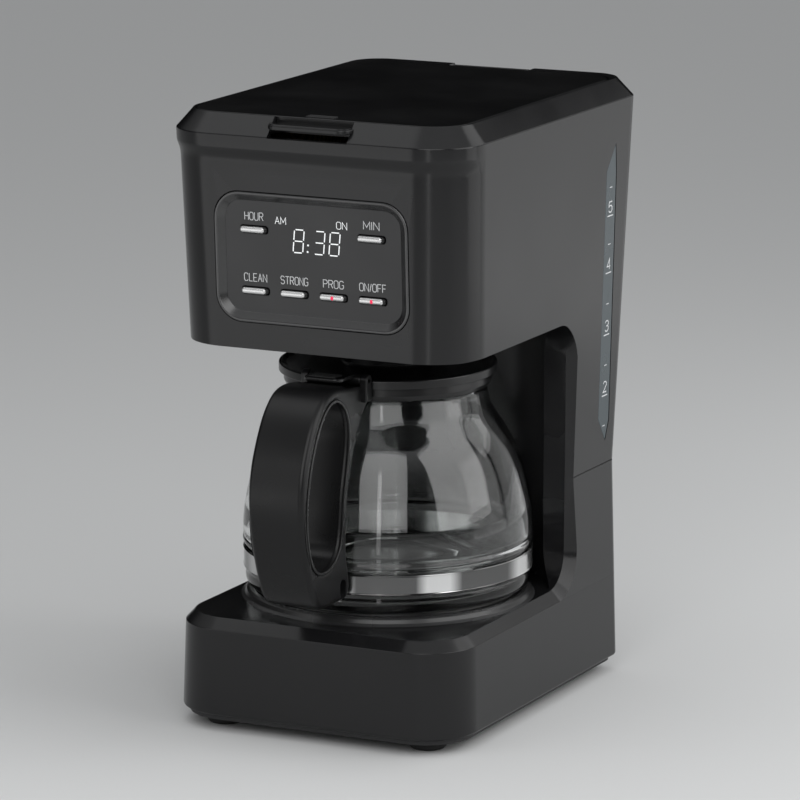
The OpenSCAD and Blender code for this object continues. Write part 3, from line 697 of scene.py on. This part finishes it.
def build_lower_housing():
    obj = solid("foot_shell", foot())
    back = solid("back", tower())
    combine(back, bay())
    combine(back, bow())
    combine_meshes(obj, back, "UNION")
    combine(obj, lower_cavity(BASE_BOTTOM - 1, UNDER_DECK, FRONT_BASE + WALL, FRONT_R - WALL, BACK_R))
    inside = solid("inside", lower_cavity(UNDER_DECK, SEAM + 2, TOWER_Y + 4, 2, BACK_R - 2))
    combine(inside, bow(WALL))
    combine_meshes(obj, inside)
    soften(obj, 0.45, skip=lambda p: p.z > SEAM - 1 or p.z < BASE_BOTTOM + 2)
    finish_piece(obj, housing_black, "machine", ["base_housing"])


build_upper_housing()
build_lower_housing()


# ---------- top lid ----------

def build_lid():
    """Plate, skirt, tab with its raised rim, hinge knuckle with its bridge, and finger ribs."""
    plate = prism(rounded_box(POCKET_HALF - 0.6, POCKET_FRONT + 0.6, POCKET_BACK - 1.2, 15.4, 13.4),
                  TOP - LID_T, TOP, 0.55, steps=4, bottom_bevel=0.2)
    skirt = prism(rounded_box(POCKET_HALF - 4.4, POCKET_FRONT + 4.4, POCKET_BACK - 8.6, 12, 5),
                  RIM + 0.5, TOP - 2.6, 0.3,
                  holes=[rounded_box(POCKET_HALF - 6.2, POCKET_FRONT + 6.2, POCKET_BACK - 10.4, 10, 4)])
    tab_front = FRONT_TOP - 2.5
    tab = rounded_box(TAB_HALF, tab_front, tab_front + TAB_DEPTH, 6, 0, 8)
    tab_plate = prism(tab, TOP - 4.5, TOP - 2.6, 0.5, steps=4)
    rim_line = [p for p in inset(tab, 1.1) if p[1] < tab_front + TAB_DEPTH - 1.5]
    tab_lip = ribbon(rim_line, 1.1, TOP - 3, TOP - 2.1)
    knuckle = rod(2.4, -TAB_HALF + 1, TAB_HALF - 1, HINGE_Y, HINGE_Z)
    bridge = block(-TAB_HALF + 2, TAB_HALF - 2, HINGE_Y - 6, HINGE_Y, TOP - LID_T + 0.1, TOP - 0.3, 0.3)
    ribs = [at(prism(pill(6.5, 0.45, 0.4), TOP - 0.4, TOP + 0.35, 0.3), 0, POCKET_FRONT + 4 + 1.8 * k)
            for k in range(3)]
    piece("lid_panel", joined(plate, skirt, tab_plate, tab_lip, knuckle, bridge, *ribs),
          lid_black, "lid", ["top_lid"])


# ---------- control panel ----------

def build_bezel():
    """Frame swept round the panel. A section point is (inset, height)."""
    section = [(0, PANEL_BACK), (0, -0.2), (0.15, 0.25), (0.6, 0.5), (1.1, 0.45), (1.5, 0.15),
               (3.7, -1.75), (4.1, -1.98), (4.2, -2.2), (4.2, PANEL_BACK)]
    half_x, half_y = PANEL_HALF_X - PANEL_GAP, PANEL_HALF_Y - PANEL_GAP
    rings = []
    for shrink, height in section:
        rings.append(level(pill(half_x - shrink, half_y - shrink, PANEL_R - shrink, 10), height))
    piece("panel_frame", on_panel(loft(rings, closed=True)), bezel_black, "machine", ["panel_bezel"])


def key_places():
    """Button name to its place on the panel and whether it carries a lamp."""
    left, inner_left, inner_right, right = BUTTON_X
    return {"hour": (left, UPPER_ROW, False), "minute": (right, UPPER_ROW, False),
            "clean": (left, LOWER_ROW, False), "strong": (inner_left, LOWER_ROW, False),
            "program": (inner_right, LOWER_ROW, True), "power": (right, LOWER_ROW, True)}


def build_panel_face():
    slots = []
    for x, y, _ in key_places().values():
        hole = pill(BUTTON_HALF_X + PANEL_GAP, BUTTON_HALF_Y + PANEL_GAP, 1.3)
        slots.append([(x + px, y + py) for px, py in hole])
    face = prism(pill(PANEL_HALF_X - 4.4, PANEL_HALF_Y - 4.0, 8.2), PANEL_BACK, PANEL_FACE, 0.12, slots)
    piece("panel_face", on_panel(face), panel_black, "machine",
          ["control_panel", "display_window"])


def build_keys():
    for name, (x, y, lit) in key_places().items():
        cap = prism(pill(BUTTON_HALF_X - 0.5, BUTTON_HALF_Y - 0.1, 1.3), -2.2, -0.2, 1.25, (), 6, 0.1)
        # The carrier is the key's real black body behind the panel. Its black rim round the cap is painted
        # shade, widest at the right end because the cap is shifted 0.5 mm left.
        carrier_and_painted_shade = prism(pill(BUTTON_HALF_X, BUTTON_HALF_Y, 1.4), PANEL_BACK - 1, -0.75, 0.9, (), 5, 0.1)
        flange = prism(pill(BUTTON_HALF_X + 0.9, BUTTON_HALF_Y + 0.9, 1.3),
                       PANEL_BACK - 1.1, PANEL_BACK - 0.1, 0.1)
        stem = prism(pill(1, 1, 0.99), -7, PANEL_BACK - 0.5, 0.1)
        piece("key_" + name, on_panel(at(cap, x - 0.5, y)), key_silver, name + "_key")
        piece("carrier_" + name, on_panel(at(joined(carrier_and_painted_shade, flange, stem), x, y)), trim_black,
              name + "_key", ["button_" + name])
        if lit:
            dot = prism(pill(0.9, 0.9, 0.89), -2.5, -0.1, 0.5, steps=5)
            piece("dot_" + name, on_panel(at(dot, x, y)), lamp_red, name + "_key",
                  [name + "_lamp"])


# Strokes on a grid 4 wide and 6 high. A letter is (width, lines); a line ending where it began closes.
ROUND = [(1, 0), (3, 0), (4, 1), (4, 5), (3, 6), (1, 6), (0, 5), (0, 1), (1, 0)]
OPEN_ROUND = [(4, 5), (3, 6), (1, 6), (0, 5), (0, 1), (1, 0), (3, 0), (4, 1)]
BOWL = [(0, 0), (0, 6), (3, 6), (4, 5), (4, 4), (3, 3), (0, 3)]
LETTERS = {
    "A": (4, [[(0, 0), (2, 6), (4, 0)], [(0.8, 2.2), (3.2, 2.2)]]),
    "C": (4, [OPEN_ROUND]),
    "E": (3.6, [[(3.6, 6), (0, 6), (0, 0), (3.6, 0)], [(0, 3), (3, 3)]]),
    "F": (3.6, [[(3.6, 6), (0, 6), (0, 0)], [(0, 3), (3, 3)]]),
    "G": (4, [OPEN_ROUND + [(4, 2.8), (2.4, 2.8)]]),
    "H": (4, [[(0, 0), (0, 6)], [(4, 0), (4, 6)], [(0, 3), (4, 3)]]),
    "I": (0.2, [[(0.1, 0), (0.1, 6)]]),
    "L": (3.4, [[(0, 6), (0, 0), (3.4, 0)]]),
    "M": (4.6, [[(0, 0), (0, 6), (2.3, 1.6), (4.6, 6), (4.6, 0)]]),
    "N": (4, [[(0, 0), (0, 6), (4, 0), (4, 6)]]),
    "O": (4, [ROUND]),
    "P": (4, [BOWL]),
    "R": (4, [BOWL, [(2, 3), (4, 0)]]),
    "S": (4, [[(4, 5), (3, 6), (1, 6), (0, 5), (0, 4), (1, 3), (3, 3), (4, 2), (4, 1), (3, 0), (1, 0),
               (0, 1)]]),
    "T": (4, [[(0, 6), (4, 6)], [(2, 6), (2, 0)]]),
    "U": (4, [[(0, 6), (0, 1), (1, 0), (3, 0), (4, 1), (4, 6)]]),
    "/": (1.6, [[(0, 0), (1.6, 6)]]),
    "2": (4, [[(0, 5), (1, 6), (3, 6), (4, 5), (4, 4), (0, 0), (4, 0)]]),
    "3": (4, [[(0, 5), (1, 6), (3, 6), (4, 5), (4, 4), (3, 3.1), (1.5, 3.1)],
              [(3, 3.1), (4, 2.2), (4, 1), (3, 0), (1, 0), (0, 1)]]),
    "4": (4, [[(4, 1.6), (0, 1.6), (3, 6), (3, 0)]]),
    "5": (4, [[(4, 6), (0.4, 6), (0, 3.2), (1, 3.7), (3, 3.7), (4, 2.8), (4, 1), (3, 0), (1, 0), (0, 1)]]),
}


def lettering(text, height, width, stroke, thickness=0.05):
    """Word of strokes, centred, with its baseline half its height below zero."""
    total = sum(LETTERS[c][0] for c in text) + 1.3 * (len(text) - 1)
    across, up = width / total, height / 6
    shapes, x = [], 0
    for c in text:
        advance, lines = LETTERS[c]
        for line in lines:
            closed = line[0] == line[-1]
            points = [((x + px - total / 2) * across, (py - 3) * up) for px, py in line]
            shapes.append(ribbon(points[:-1] if closed else points, stroke, 0, thickness, closed))
        x += advance + 1.3
    return joined(*shapes)


def segment_digit(lit, width=4.5, height=9.8, stroke=0.47, lean=0.10):
    """Seven-segment figure. Segments: a top, b c right, d bottom, e f left, g middle."""
    w, h, g = width / 2, height / 2, 0.25
    ends = {"a": ((-w, h), (w, h)), "b": ((w, h), (w, 0)), "c": ((w, 0), (w, -h)), "d": ((-w, -h), (w, -h)),
            "e": ((-w, 0), (-w, -h)), "f": ((-w, h), (-w, 0)), "g": ((-w, 0), (w, 0))}
    shapes = []
    for name in lit:
        a, b = map(Vector, ends[name])
        way = (b - a).normalized() * (g + stroke / 2)
        line = [(p.x + lean * p.y, p.y) for p in (a + way, b - way)]
        shapes.append(ribbon(line, stroke, 0, 0.05))
    return joined(*shapes)


def build_display():
    """Time shown as three figures with a colon, and the two small words over it."""
    shapes = [at(segment_digit("abcdefg"), -6.6, 0), at(segment_digit("abcdg"), 3.1, 0),
              at(segment_digit("abcdefg"), 10.1, 0)]
    for y in (-4.2, -1.4):
        shapes.append(at(prism(pill(0.42, 0.42, 0.41), 0, 0.05, 0), -2.1 + 0.1 * y, y))
    words = [at(lettering("AM", 3.0, 5.0, 0.22), -14.9, 8.1), at(lettering("ON", 3.0, 4.8, 0.22), 13.6, 8.1)]
    lit = at(joined(*shapes, *words), 0, 8.1, PANEL_FACE)
    piece("display_figures", on_panel(lit), digit_white, "machine")


def build_legends():
    words = {"hour": ("HOUR", 8.6), "minute": ("MIN", 7.2), "clean": ("CLEAN", 10.6),
             "strong": ("STRONG", 12.6), "program": ("PROG", 9.4), "power": ("ON/OFF", 12.2)}
    shapes = []
    for name, (word, width) in words.items():
        x, y, _ = key_places()[name]
        shapes.append(at(lettering(word, 3.3, width, 0.28), x, y + 5.6, PANEL_FACE))
    piece("panel_legends", on_panel(joined(*shapes)), print_painted_glow, "machine")


# ---------- level window ----------

def on_side(shape):
    """From (back, up, outwards) on the +X side to the body's frame."""
    return [(upper_half(z) + t, y, z) for y, z, t in shape[0]], shape[1]


def build_level_window():
    strip = prism(window_outline(-0.15), -1.6, -0.1, 0.3)
    piece("level_strip", on_side(strip), window_slate, "machine", ["level_window"])
    marks = []
    for figure, z in (("2", 126.8), ("3", 154), ("4", 181.6), ("5", 206.9)):
        marks.append(at(ribbon([(-2.6, 0), (3.2, 0)], 0.5, 0, 0.05), 77.3, z, -0.1))
        marks.append(at(lettering(figure, 4.6, 3.4, 0.5), 77.6, z + 3.9, -0.1))
    for z in (113.2, 140.4, 167.8, 194.3, 219.5):
        marks.append(at(ribbon([(-1, 0), (1.6, 0)], 0.35, 0, 0.05), 77.3, z, -0.1))
    piece("level_marks", on_side(joined(*marks)), print_painted_glow, "machine")


# ---------- foot fittings ----------

def build_underside():
    cover = prism(rounded_box(FOOT_HALF - 3, FRONT_BASE + 3, BACK_LOW - 3, 21, 6), 4.5, 7, 0.5)
    ribs = [block(x - 0.8, x + 0.8, -60, 78, 4.1, 4.8, 0.2) for x in range(-30, 31, 15)]
    piece("bottom_plate", joined(cover, *ribs), cover_black, "machine", ["bottom_cover"])
    pads = []
    for x in (-48, 48):
        for y in (-62, 78):
            profile = fillet([(0, 0), (6.9, 0), (8, 1.2), (8, 4.5), (0, 4.5)], [0, 0.6, 0.4, 0, 0])
            pads.append(lathe(profile, 40, (x, y)))
    piece("foot_pads", joined(*pads), rubber, "machine", ["feet"])
    gland = block(22, 38, BACK_LOW - 10, BACK_LOW + 2, 7, 23, 0.8)
    flange = block(18.5, 41.5, BACK_LOW - 5.5, BACK_LOW - 2.5, 7, 26, 0.3)
    obj = solid("cord_bushing", gland)
    combine(obj, flange, "UNION")
    turn = Matrix.Translation((30, BACK_LOW - 12, 15)) @ Matrix.Rotation(math.radians(-90), 4, "X")
    combine(obj, moved(prism(circle(3.4, 48, (0, 0)), 0, 18, 0), turn))
    soften(obj, 0.35, angle=40)
    finish_piece(obj, rubber, "machine", ["cord_gland"])


# ---------- warming plate ----------

def build_warming_plate():
    profile = fillet([(0, DECK - 4), (40.7, DECK - 4), (40.7, DECK + 1.2), (57.2, DECK + 1.2),
                      (57.2, PLATE_TOP), (54, PLATE_TOP), (52.5, PLATE_TOP - 0.5), (0, PLATE_TOP - 0.5)],
                     [0, 0.5, 0.5, 0.3, 0.8, 0.6, 0.8, 0])
    piece("hot_plate", lathe(profile, 120), plate_enamel, "machine", ["warming_plate"])
    ring = fillet([(50.5, DECK), (63.6, DECK), (62.2, DECK + 0.9), (61.3, DECK + 2.5), (60.2, DECK + 3.3),
                   (58.5, DECK + 3.3), (57.7, DECK + 2.4), (57.7, DECK + 1.1), (50.5, DECK + 1.1)],
                  [0, 0, 0.8, 0.8, 0.3, 0.3, 0.3, 0, 0])
    piece("plate_surround", lathe(ring, 140), ring_grey, "machine", ["plate_ring"])


# ---------- carafe ----------

def smooth_line(points, steps=6):
    """Open line through all the points, rounded between them."""
    made = []
    for i in range(len(points) - 1):
        p0 = Vector(points[max(0, i - 1)])
        p1, p2 = Vector(points[i]), Vector(points[i + 1])
        p3 = Vector(points[min(len(points) - 1, i + 2)])
        for k in range(steps):
            t = k / steps
            p = 0.5 * (2 * p1 + (p2 - p0) * t + (2 * p0 - 5 * p1 + 4 * p2 - p3) * t * t
                       + (3 * p1 - 3 * p2 + p3 - p0) * t ** 3)
            made.append((p.x, p.y))
    made.append(tuple(points[-1]))
    return made


# Outside of the glass, as radius and height over its own foot.
GLASS_FOOT = [(0, 0.6), (30, 0.5), (46, 0.2), (54, 0), (59.4, 0.8), (61.3, 2.6), (61.8, 5), (61.5, 7.6)]
GLASS_BELLY = [(61.5, 18.4), (62.6, 19.6), (62.9, 21.2), (62.3, 22.6), (62.8, 25), (62.2, 34), (60.3, 43.7),
               (58, 53), (54.8, 61.7), (51.4, 68), (47.6, 73.8), (44.5, 79), (43.3, 83.5), (42.6, 87),
               (41, 88.8), (41, 94.5)]


def build_glass():
    outer = smooth_line(GLASS_FOOT, 4) + smooth_line(GLASS_BELLY, 4)
    wall = [(r - GLASS_WALL, z) for r, z in smooth_line(GLASS_BELLY[5:], 4)[::-1]]
    floor = [(60, 24), (59.3, 14), (58.6, 8), (56, 4.6), (50, 3.2), (30, 3.0), (0, 3.0)]
    profile = outer + [(40.4, 95.0), (39.4, 95.0)] + wall + smooth_line(floor, 4)
    shape = lathe([(r, z + GLASS_BOTTOM) for r, z in profile], 144)
    piece("glass_jug", shape, clear_glass, "carafe", ["carafe_glass"], sharp=60)


def build_band():
    low, high, r = BAND_Z, BAND_Z + BAND_H, BAND_R
    edge = [(0, 0), (0.5, -0.1), (0.9, 0.3), (0.7, 0.9)]
    section = [(r + out, low + up) for out, up in edge] + [(r + out, high - up) for out, up in edge[::-1]]
    ears = [block(x - 0.6, x + 0.6, -76, AXIS_Y - r - 0.2, low + 0.5, high - 0.5, 0.2) for x in (-2.1, 2.1)]
    piece("jug_band", joined(lathe(section, 144), *ears), band_steel, "carafe", ["carafe_band"])


def build_collar():
    top = COLLAR_Z + COLLAR_H
    profile = fillet([(41.05, COLLAR_Z), (44, COLLAR_Z), (44.9, COLLAR_Z + 2), (44.5, top), (41.05, top)],
                     [0, 0.5, 0.8, 0.5, 0])
    obj = solid("collar", lathe(profile, 120))

    def spout(width, low, high, reach):
        levels = []
        for z, share in ((low, 0.0), (mix(low, high, 0.55), 0.55), (high, 1.0)):
            front = AXIS_Y + 40
            back = AXIS_Y + 44.5 + 2 + reach * share
            tip = width * mix(1, 0.35, share)
            flat = [(-width, front), (width, front), (tip, back), (-tip, back)]
            levels.append(level(fillet(flat, [0, 0, tip * 0.8, tip * 0.8], 6), z))
        return loft(levels)

    combine(obj, spout(9, COLLAR_Z + 1.5, top - 1.2, 9), "UNION")
    combine(obj, spout(6.4, COLLAR_Z + 3.5, top + 2, 8))
    combine(obj, prism(circle(41.05), COLLAR_Z - 2, top + 4, 0))
    soften(obj, 0.35, angle=42)
    finish_piece(obj, trim_black, "carafe", ["carafe_collar"])


def build_carafe_lid():
    rim = COLLAR_Z + COLLAR_H
    r = CARAFE_LID_R
    profile = [(6, 157), (14, 156), (17.5, 149.6), (36, rim + 0.1), (36, rim - 6), (38.3, rim - 6),
               (38.3, rim + 0.1), (44.8, rim + 0.1), (44.8, rim - 1), (r, rim - 1), (r, rim + 3),
               (r - 1.6, rim + 3.2), (r - 3, rim + 2), (19, rim + 2), (16, 159), (14.5, 160.5), (9.5, 160.5),
               (6, 158.5)]
    radii = [0.3, 0.8, 1.2, 0, 0.4, 0.4, 0, 0, 0.3, 0.4, 0.9, 0.9, 1.2, 2.4, 2.0, 0.8, 1.5, 0.4]
    lid = lathe(fillet(profile, radii, 5), 120)
    knuckle = rod(2.4, -12, 12, CARAFE_HINGE_Y, CARAFE_HINGE_Z, 0.4)
    bridge = block(-12, 12, CARAFE_HINGE_Y, CARAFE_HINGE_Y + 6, rim + 1.7, rim + 3.7, 0.4)
    lever_y, lever_z = CARAFE_HINGE_Y - 15, CARAFE_HINGE_Z + 0.6
    lever = prism(rounded_box(9, lever_y, lever_y + 16, 4, 0, 5), lever_z, lever_z + 1.9, 0.6)
    ridges = [block(-6, 6, lever_y + 2 + 2 * k, lever_y + 2.8 + 2 * k, lever_z + 1.6, lever_z + 2.3, 0.25)
              for k in range(4)]
    piece("jug_lid", joined(lid, knuckle, bridge, lever, *ridges), trim_black, "carafe",
          ["carafe_lid"], sharp=45)


# Side view of the handle: outer edge and finger opening, as y and z.
HANDLE_EDGE = [(-44, 150), (-62, 152), (-82, 154.5), (-94, 146.5), (-102, 134), (-107.5, 121), (-108.7, 107),
               (-106.5, 92), (-102.5, 79), (-97, 66), (-91, 61.5), (-78, 61.5), (-64.6, 61.5), (-64.6, 72),
               (-67.4, 80), (-67.2, 92), (-65.4, 106), (-60.5, 123), (-53, 137), (-45.5, 142.5)]
HANDLE_HOLE = [(-79, 149), (-89, 143.5), (-97, 131), (-102, 117), (-104, 104), (-102.4, 91), (-98, 81),
               (-91, 77.5), (-82, 78.5), (-74, 84), (-71.8, 94), (-70.8, 106), (-66.5, 122), (-65, 134),
               (-69, 144)]


def build_handle():
    edge = turning(cut_corners(HANDLE_EDGE, 3))
    hole = cut_corners(HANDLE_HOLE, 3)
    half = HANDLE_HALF
    obj = solid("grip", sideways(prism(edge, -half, half, 2.6, [hole], 6)))
    y, low, high = CARAFE_HINGE_Y, CARAFE_HINGE_Z - 9, CARAFE_HINGE_Z + 2.6
    for side in (-1, 1):
        x = side * (half + 0.75)
        lug = fillet([(y - 2.6, low), (y + 2.6, low), (y + 2.6, high), (y - 2.6, high)], [0, 0, 2.5, 2.5])
        combine(obj, sideways(prism(lug, x - 1.75, x + 1.75, 0.7)), "UNION")
    for radius, low, high in ((44.6, 100, 170), (62.7, BAND_Z - 3, BAND_Z + BAND_H + 7),
                              (CARAFE_LID_R + 0.2, 147.4, 168)):
        combine(obj, prism(circle(radius), low, high, 0))
    combine(obj, block(-3, 3, -77, -61, BAND_Z - 3, BAND_Z + BAND_H + 3))
    combine(obj, block(-12.4, 12.4, CARAFE_HINGE_Y - 16, CARAFE_HINGE_Y + 14, CARAFE_HINGE_Z - 2.7, 172))
    recess = cut_corners(pill(2.6, 3.8, 2.4), 1)
    recess = [(y + BAND_SCREW_Y, z + BAND_SCREW_Z + 0.6) for y, z in recess]
    combine(obj, sideways(prism(recess, 8.5, 20, 0)))
    soften(obj, 0.4, angle=45)
    finish_piece(obj, handle_black, "carafe", ["carafe_handle"], sharp=40)
    rim_hole = inset(turning(hole, False), 1.4)
    for name, side in (("left", -1), ("right", 1)):
        x0, x1 = sorted((side * (half - 0.4), side * (half + 0.35)))
        trim = prism(turning(rim_hole), x0, x1, 0.3, [hole])
        piece("grip_rim_" + name, sideways(trim), trim_black, "carafe")


def build_band_screw():
    shaft = rod(1.6, -8, 7.6, BAND_SCREW_Y, BAND_SCREW_Z, 0.2)
    head = rod(3, 7.5, 9.3, BAND_SCREW_Y, BAND_SCREW_Z, 0.5, 32)
    piece("handle_screw", joined(shaft, head), bright_steel, "carafe", ["band_screw"])


# ---------- inside the lid ----------

def build_brewing_parts():
    floor_z = HEAD + 8
    top = TANK_TOP + 2.5
    basket = fillet([(4, floor_z - 2), (8, floor_z - 2), (8, HEAD - 3), (11, HEAD - 3), (11, floor_z - 2),
                     (34, floor_z), (46.8, top), (50, top), (50, top + 1.8), (45.2, top + 1.8),
                     (33, floor_z + 2),
                     (4, floor_z + 2)], [0.2, 0.6, 0.5, 0.5, 1, 2, 0.5, 0.4, 0.7, 0.8, 2, 0.3])
    piece("basket", lathe(basket, 120), inner_black, "machine", ["brew_basket"], sharp=50)
    low, rim = HEAD + 14.5, top + 1.9
    cloth = fillet([(0, low), (33, low), (44.4, rim), (48, rim), (48, rim + 0.8), (43.6, rim + 0.8),
                    (32.3, low + 0.8), (0, low + 0.8)], [0, 1.5, 0.5, 0.3, 0.3, 0.8, 1.5, 0])
    piece("filter_cup", lathe(cloth, 120), filter_weave, "machine", ["mesh_filter"])
    plate = rounded_box(upper_half(TANK_TOP) - WALL - 0.4, upper_front(TANK_TOP) + WALL + 0.5,
                        upper_back(TANK_TOP) - WALL - 0.4, FRONT_R, BACK_R)
    fill = [(x - 24, y) for x, y in rounded_box(32, 60, 97, 5, 5)]
    deck = prism(plate, TANK_TOP, top, 0.4, [circle(48.5), fill])
    lip = [(x - 24, y) for x, y in rounded_box(33.6, 58.4, 98.6, 6, 6)]
    collar = prism(lip, top - 0.2, top + 1.2, 0.5, [fill])
    piece("inner_deck", joined(deck, collar), inner_black, "machine", ["top_deck"])


def build_sprayer():
    top = TANK_TOP + 2.5
    holes = [circle(1.6, 20, place) for place in circle(14, 8)]
    disc = prism(circle(22, 80), top + 2.8, top + 4, 0.4, holes)
    piece("spray_disc", disc, inner_black, "machine", ["water_spreader"])
    end = Vector((36 * math.sin(math.radians(35)), 78, top + 7.4))
    start = Vector((0, AXIS_Y, top + 7.4))
    length = (end - start).length
    arm = rod(3.2, 0, length, 0, 0, 0.4, 32)
    turn = (end - start).to_track_quat("X", "Z").to_matrix().to_4x4()
    arm = moved(arm, Matrix.Translation(start) @ turn)
    post = lathe(fillet([(4.1, top), (6, top), (6, top + 11), (0, top + 11), (0, top + 9.5),
                         (4.1, top + 9.5)],
                        [0, 0.3, 1.5, 0, 0, 0]), 40, (end.x, end.y))
    nozzle = lathe(fillet([(2.4, top + 4.1), (5, top + 4.1), (5, top + 11.1), (0, top + 11.1), (0, top + 9),
                           (2.4, top + 9)], [0, 0.4, 1.5, 0, 0, 0]), 40)
    piece("water_arm", joined(arm, post, nozzle), inner_black, "machine", ["water_spout"])


def dress(finishes):
    """Materials for the CAD nodes that are shown as they are."""
    for material, nodes in finishes:
        for name in nodes:
            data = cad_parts[name].data
            data.materials.clear()
            data.materials.append(material)


build_lid()
build_bezel()
build_panel_face()
build_keys()
build_display()
build_legends()
build_level_window()
build_underside()
build_warming_plate()
build_glass()
build_band()
build_collar()
build_carafe_lid()
build_handle()
build_band_screw()
build_brewing_parts()
build_sprayer()
dress([
    (bright_steel, ["cover_screws", "bracket_screws", "board_screws", "element_bracket", "hose_clamps",
                    "lid_pin", "carafe_lid_pin", "drip_stop_spring", "check_valve_ball"]),
    (cast_alloy, ["heating_element", "riser_tube"]),
    (ceramic_white, ["thermostat", "thermal_fuses", "tact_switches"]),
    (silicone, ["cold_water_hose", "hot_water_hose"]),
    (valve_white, ["check_valve_body"]),
    (tank_smoke, ["water_tank"]),
    (inner_black, ["brew_well", "drip_stop_plunger", "display_module"]),
    (seal_red, ["drip_stop_seal"]),
    (board_green, ["control_board"]),
])


# ---------- camera, light and floor ----------

def add_camera(target=(1.3, 7, 132), azimuth=26, elevation=11.8, distance=2.186):
    """Long lens at the photograph's viewing angle. The target is in millimetres, the distance in metres."""
    data = bpy.data.cameras.new("camera")
    data.sensor_width = 36
    data.lens = 227.8
    camera = add_object("camera", data)
    turn, tilt = math.radians(azimuth), math.radians(elevation)
    away = Vector((math.sin(turn) * math.cos(tilt), -math.cos(turn) * math.cos(tilt), math.sin(tilt)))
    camera.location = Vector(target) * MM + away * distance
    camera.rotation_euler = (-away).to_track_quat("-Z", "Y").to_euler()
    scene.camera = camera


def add_softbox(name, azimuth, away, width, low, high, power, lean=0.0):
    """Rectangular light facing the object, between two heights. Lean tips it to look down."""
    data = bpy.data.lights.new(name, "AREA")
    data.shape = "RECTANGLE"
    data.size, data.size_y = width, high - low
    data.energy = power
    light = add_object(name, data)
    turn = math.radians(azimuth)
    light.location = (away * math.sin(turn), -away * math.cos(turn), (low + high) / 2)
    light.rotation_euler = (math.radians(90 - lean), 0, turn)
    light.visible_camera = False


def add_world():
    """Studio that is black round the horizon and bright overhead."""
    world = bpy.data.worlds.new("studio")
    world.use_nodes = True
    tree = world.node_tree
    direction = tree.nodes.new("ShaderNodeTexCoord")
    parts = tree.nodes.new("ShaderNodeSeparateXYZ")
    feed(tree, parts, Vector=direction.outputs["Generated"])
    overhead = between(tree, parts.outputs["Z"], 0, 0.8, (0.35, 0.95))
    feed(tree, tree.nodes["Background"], Color=(0.98, 0.99, 1, 1), Strength=overhead)
    scene.world = world


def add_floor():
    mesh = bpy.data.meshes.new("floor")
    reach = 9
    mesh.from_pydata(level(rounded_box(reach, -reach, reach, 0, 0), 0), [], [(0, 1, 2, 3)])
    floor = add_object("floor", mesh)
    material, tree, shader = principled("floor_pale")
    tone = blend_colour(tree, noise(tree, 900, 2), (0.64, 0.645, 0.645), (0.66, 0.665, 0.665))
    feed(tree, shader, Base_Color=tone, Roughness=0.9, Specular_IOR_Level=0.1)
    floor.data.materials.append(material)


add_camera()
add_world()
add_floor()
add_softbox("front", -31, 0.55, 0.44, 0, 0.42, 0.55)
add_softbox("corner_strip", 19, 0.55, 0.03, 0, 0.42, 0.08)
add_softbox("side_low", 112, 0.8, 0.5, 0, 0.5, 0.6)
add_softbox("back_low", 150, 0.8, 0.5, 0, 0.5, 0.36)
add_softbox("glass_side", 91, 0.9, 0.95, 0.14, 1.0, 5.4, 20)
add_softbox("glass_front", 22, 0.9, 0.7, 0.2, 1.0, 3.4, 20)
add_softbox("back_high", 140, 1.0, 0.6, 0.5, 1.1, 1.2, 35)
add_softbox("overhead", -75, 0.45, 0.5, 0.75, 1.25, 0.5, 63)
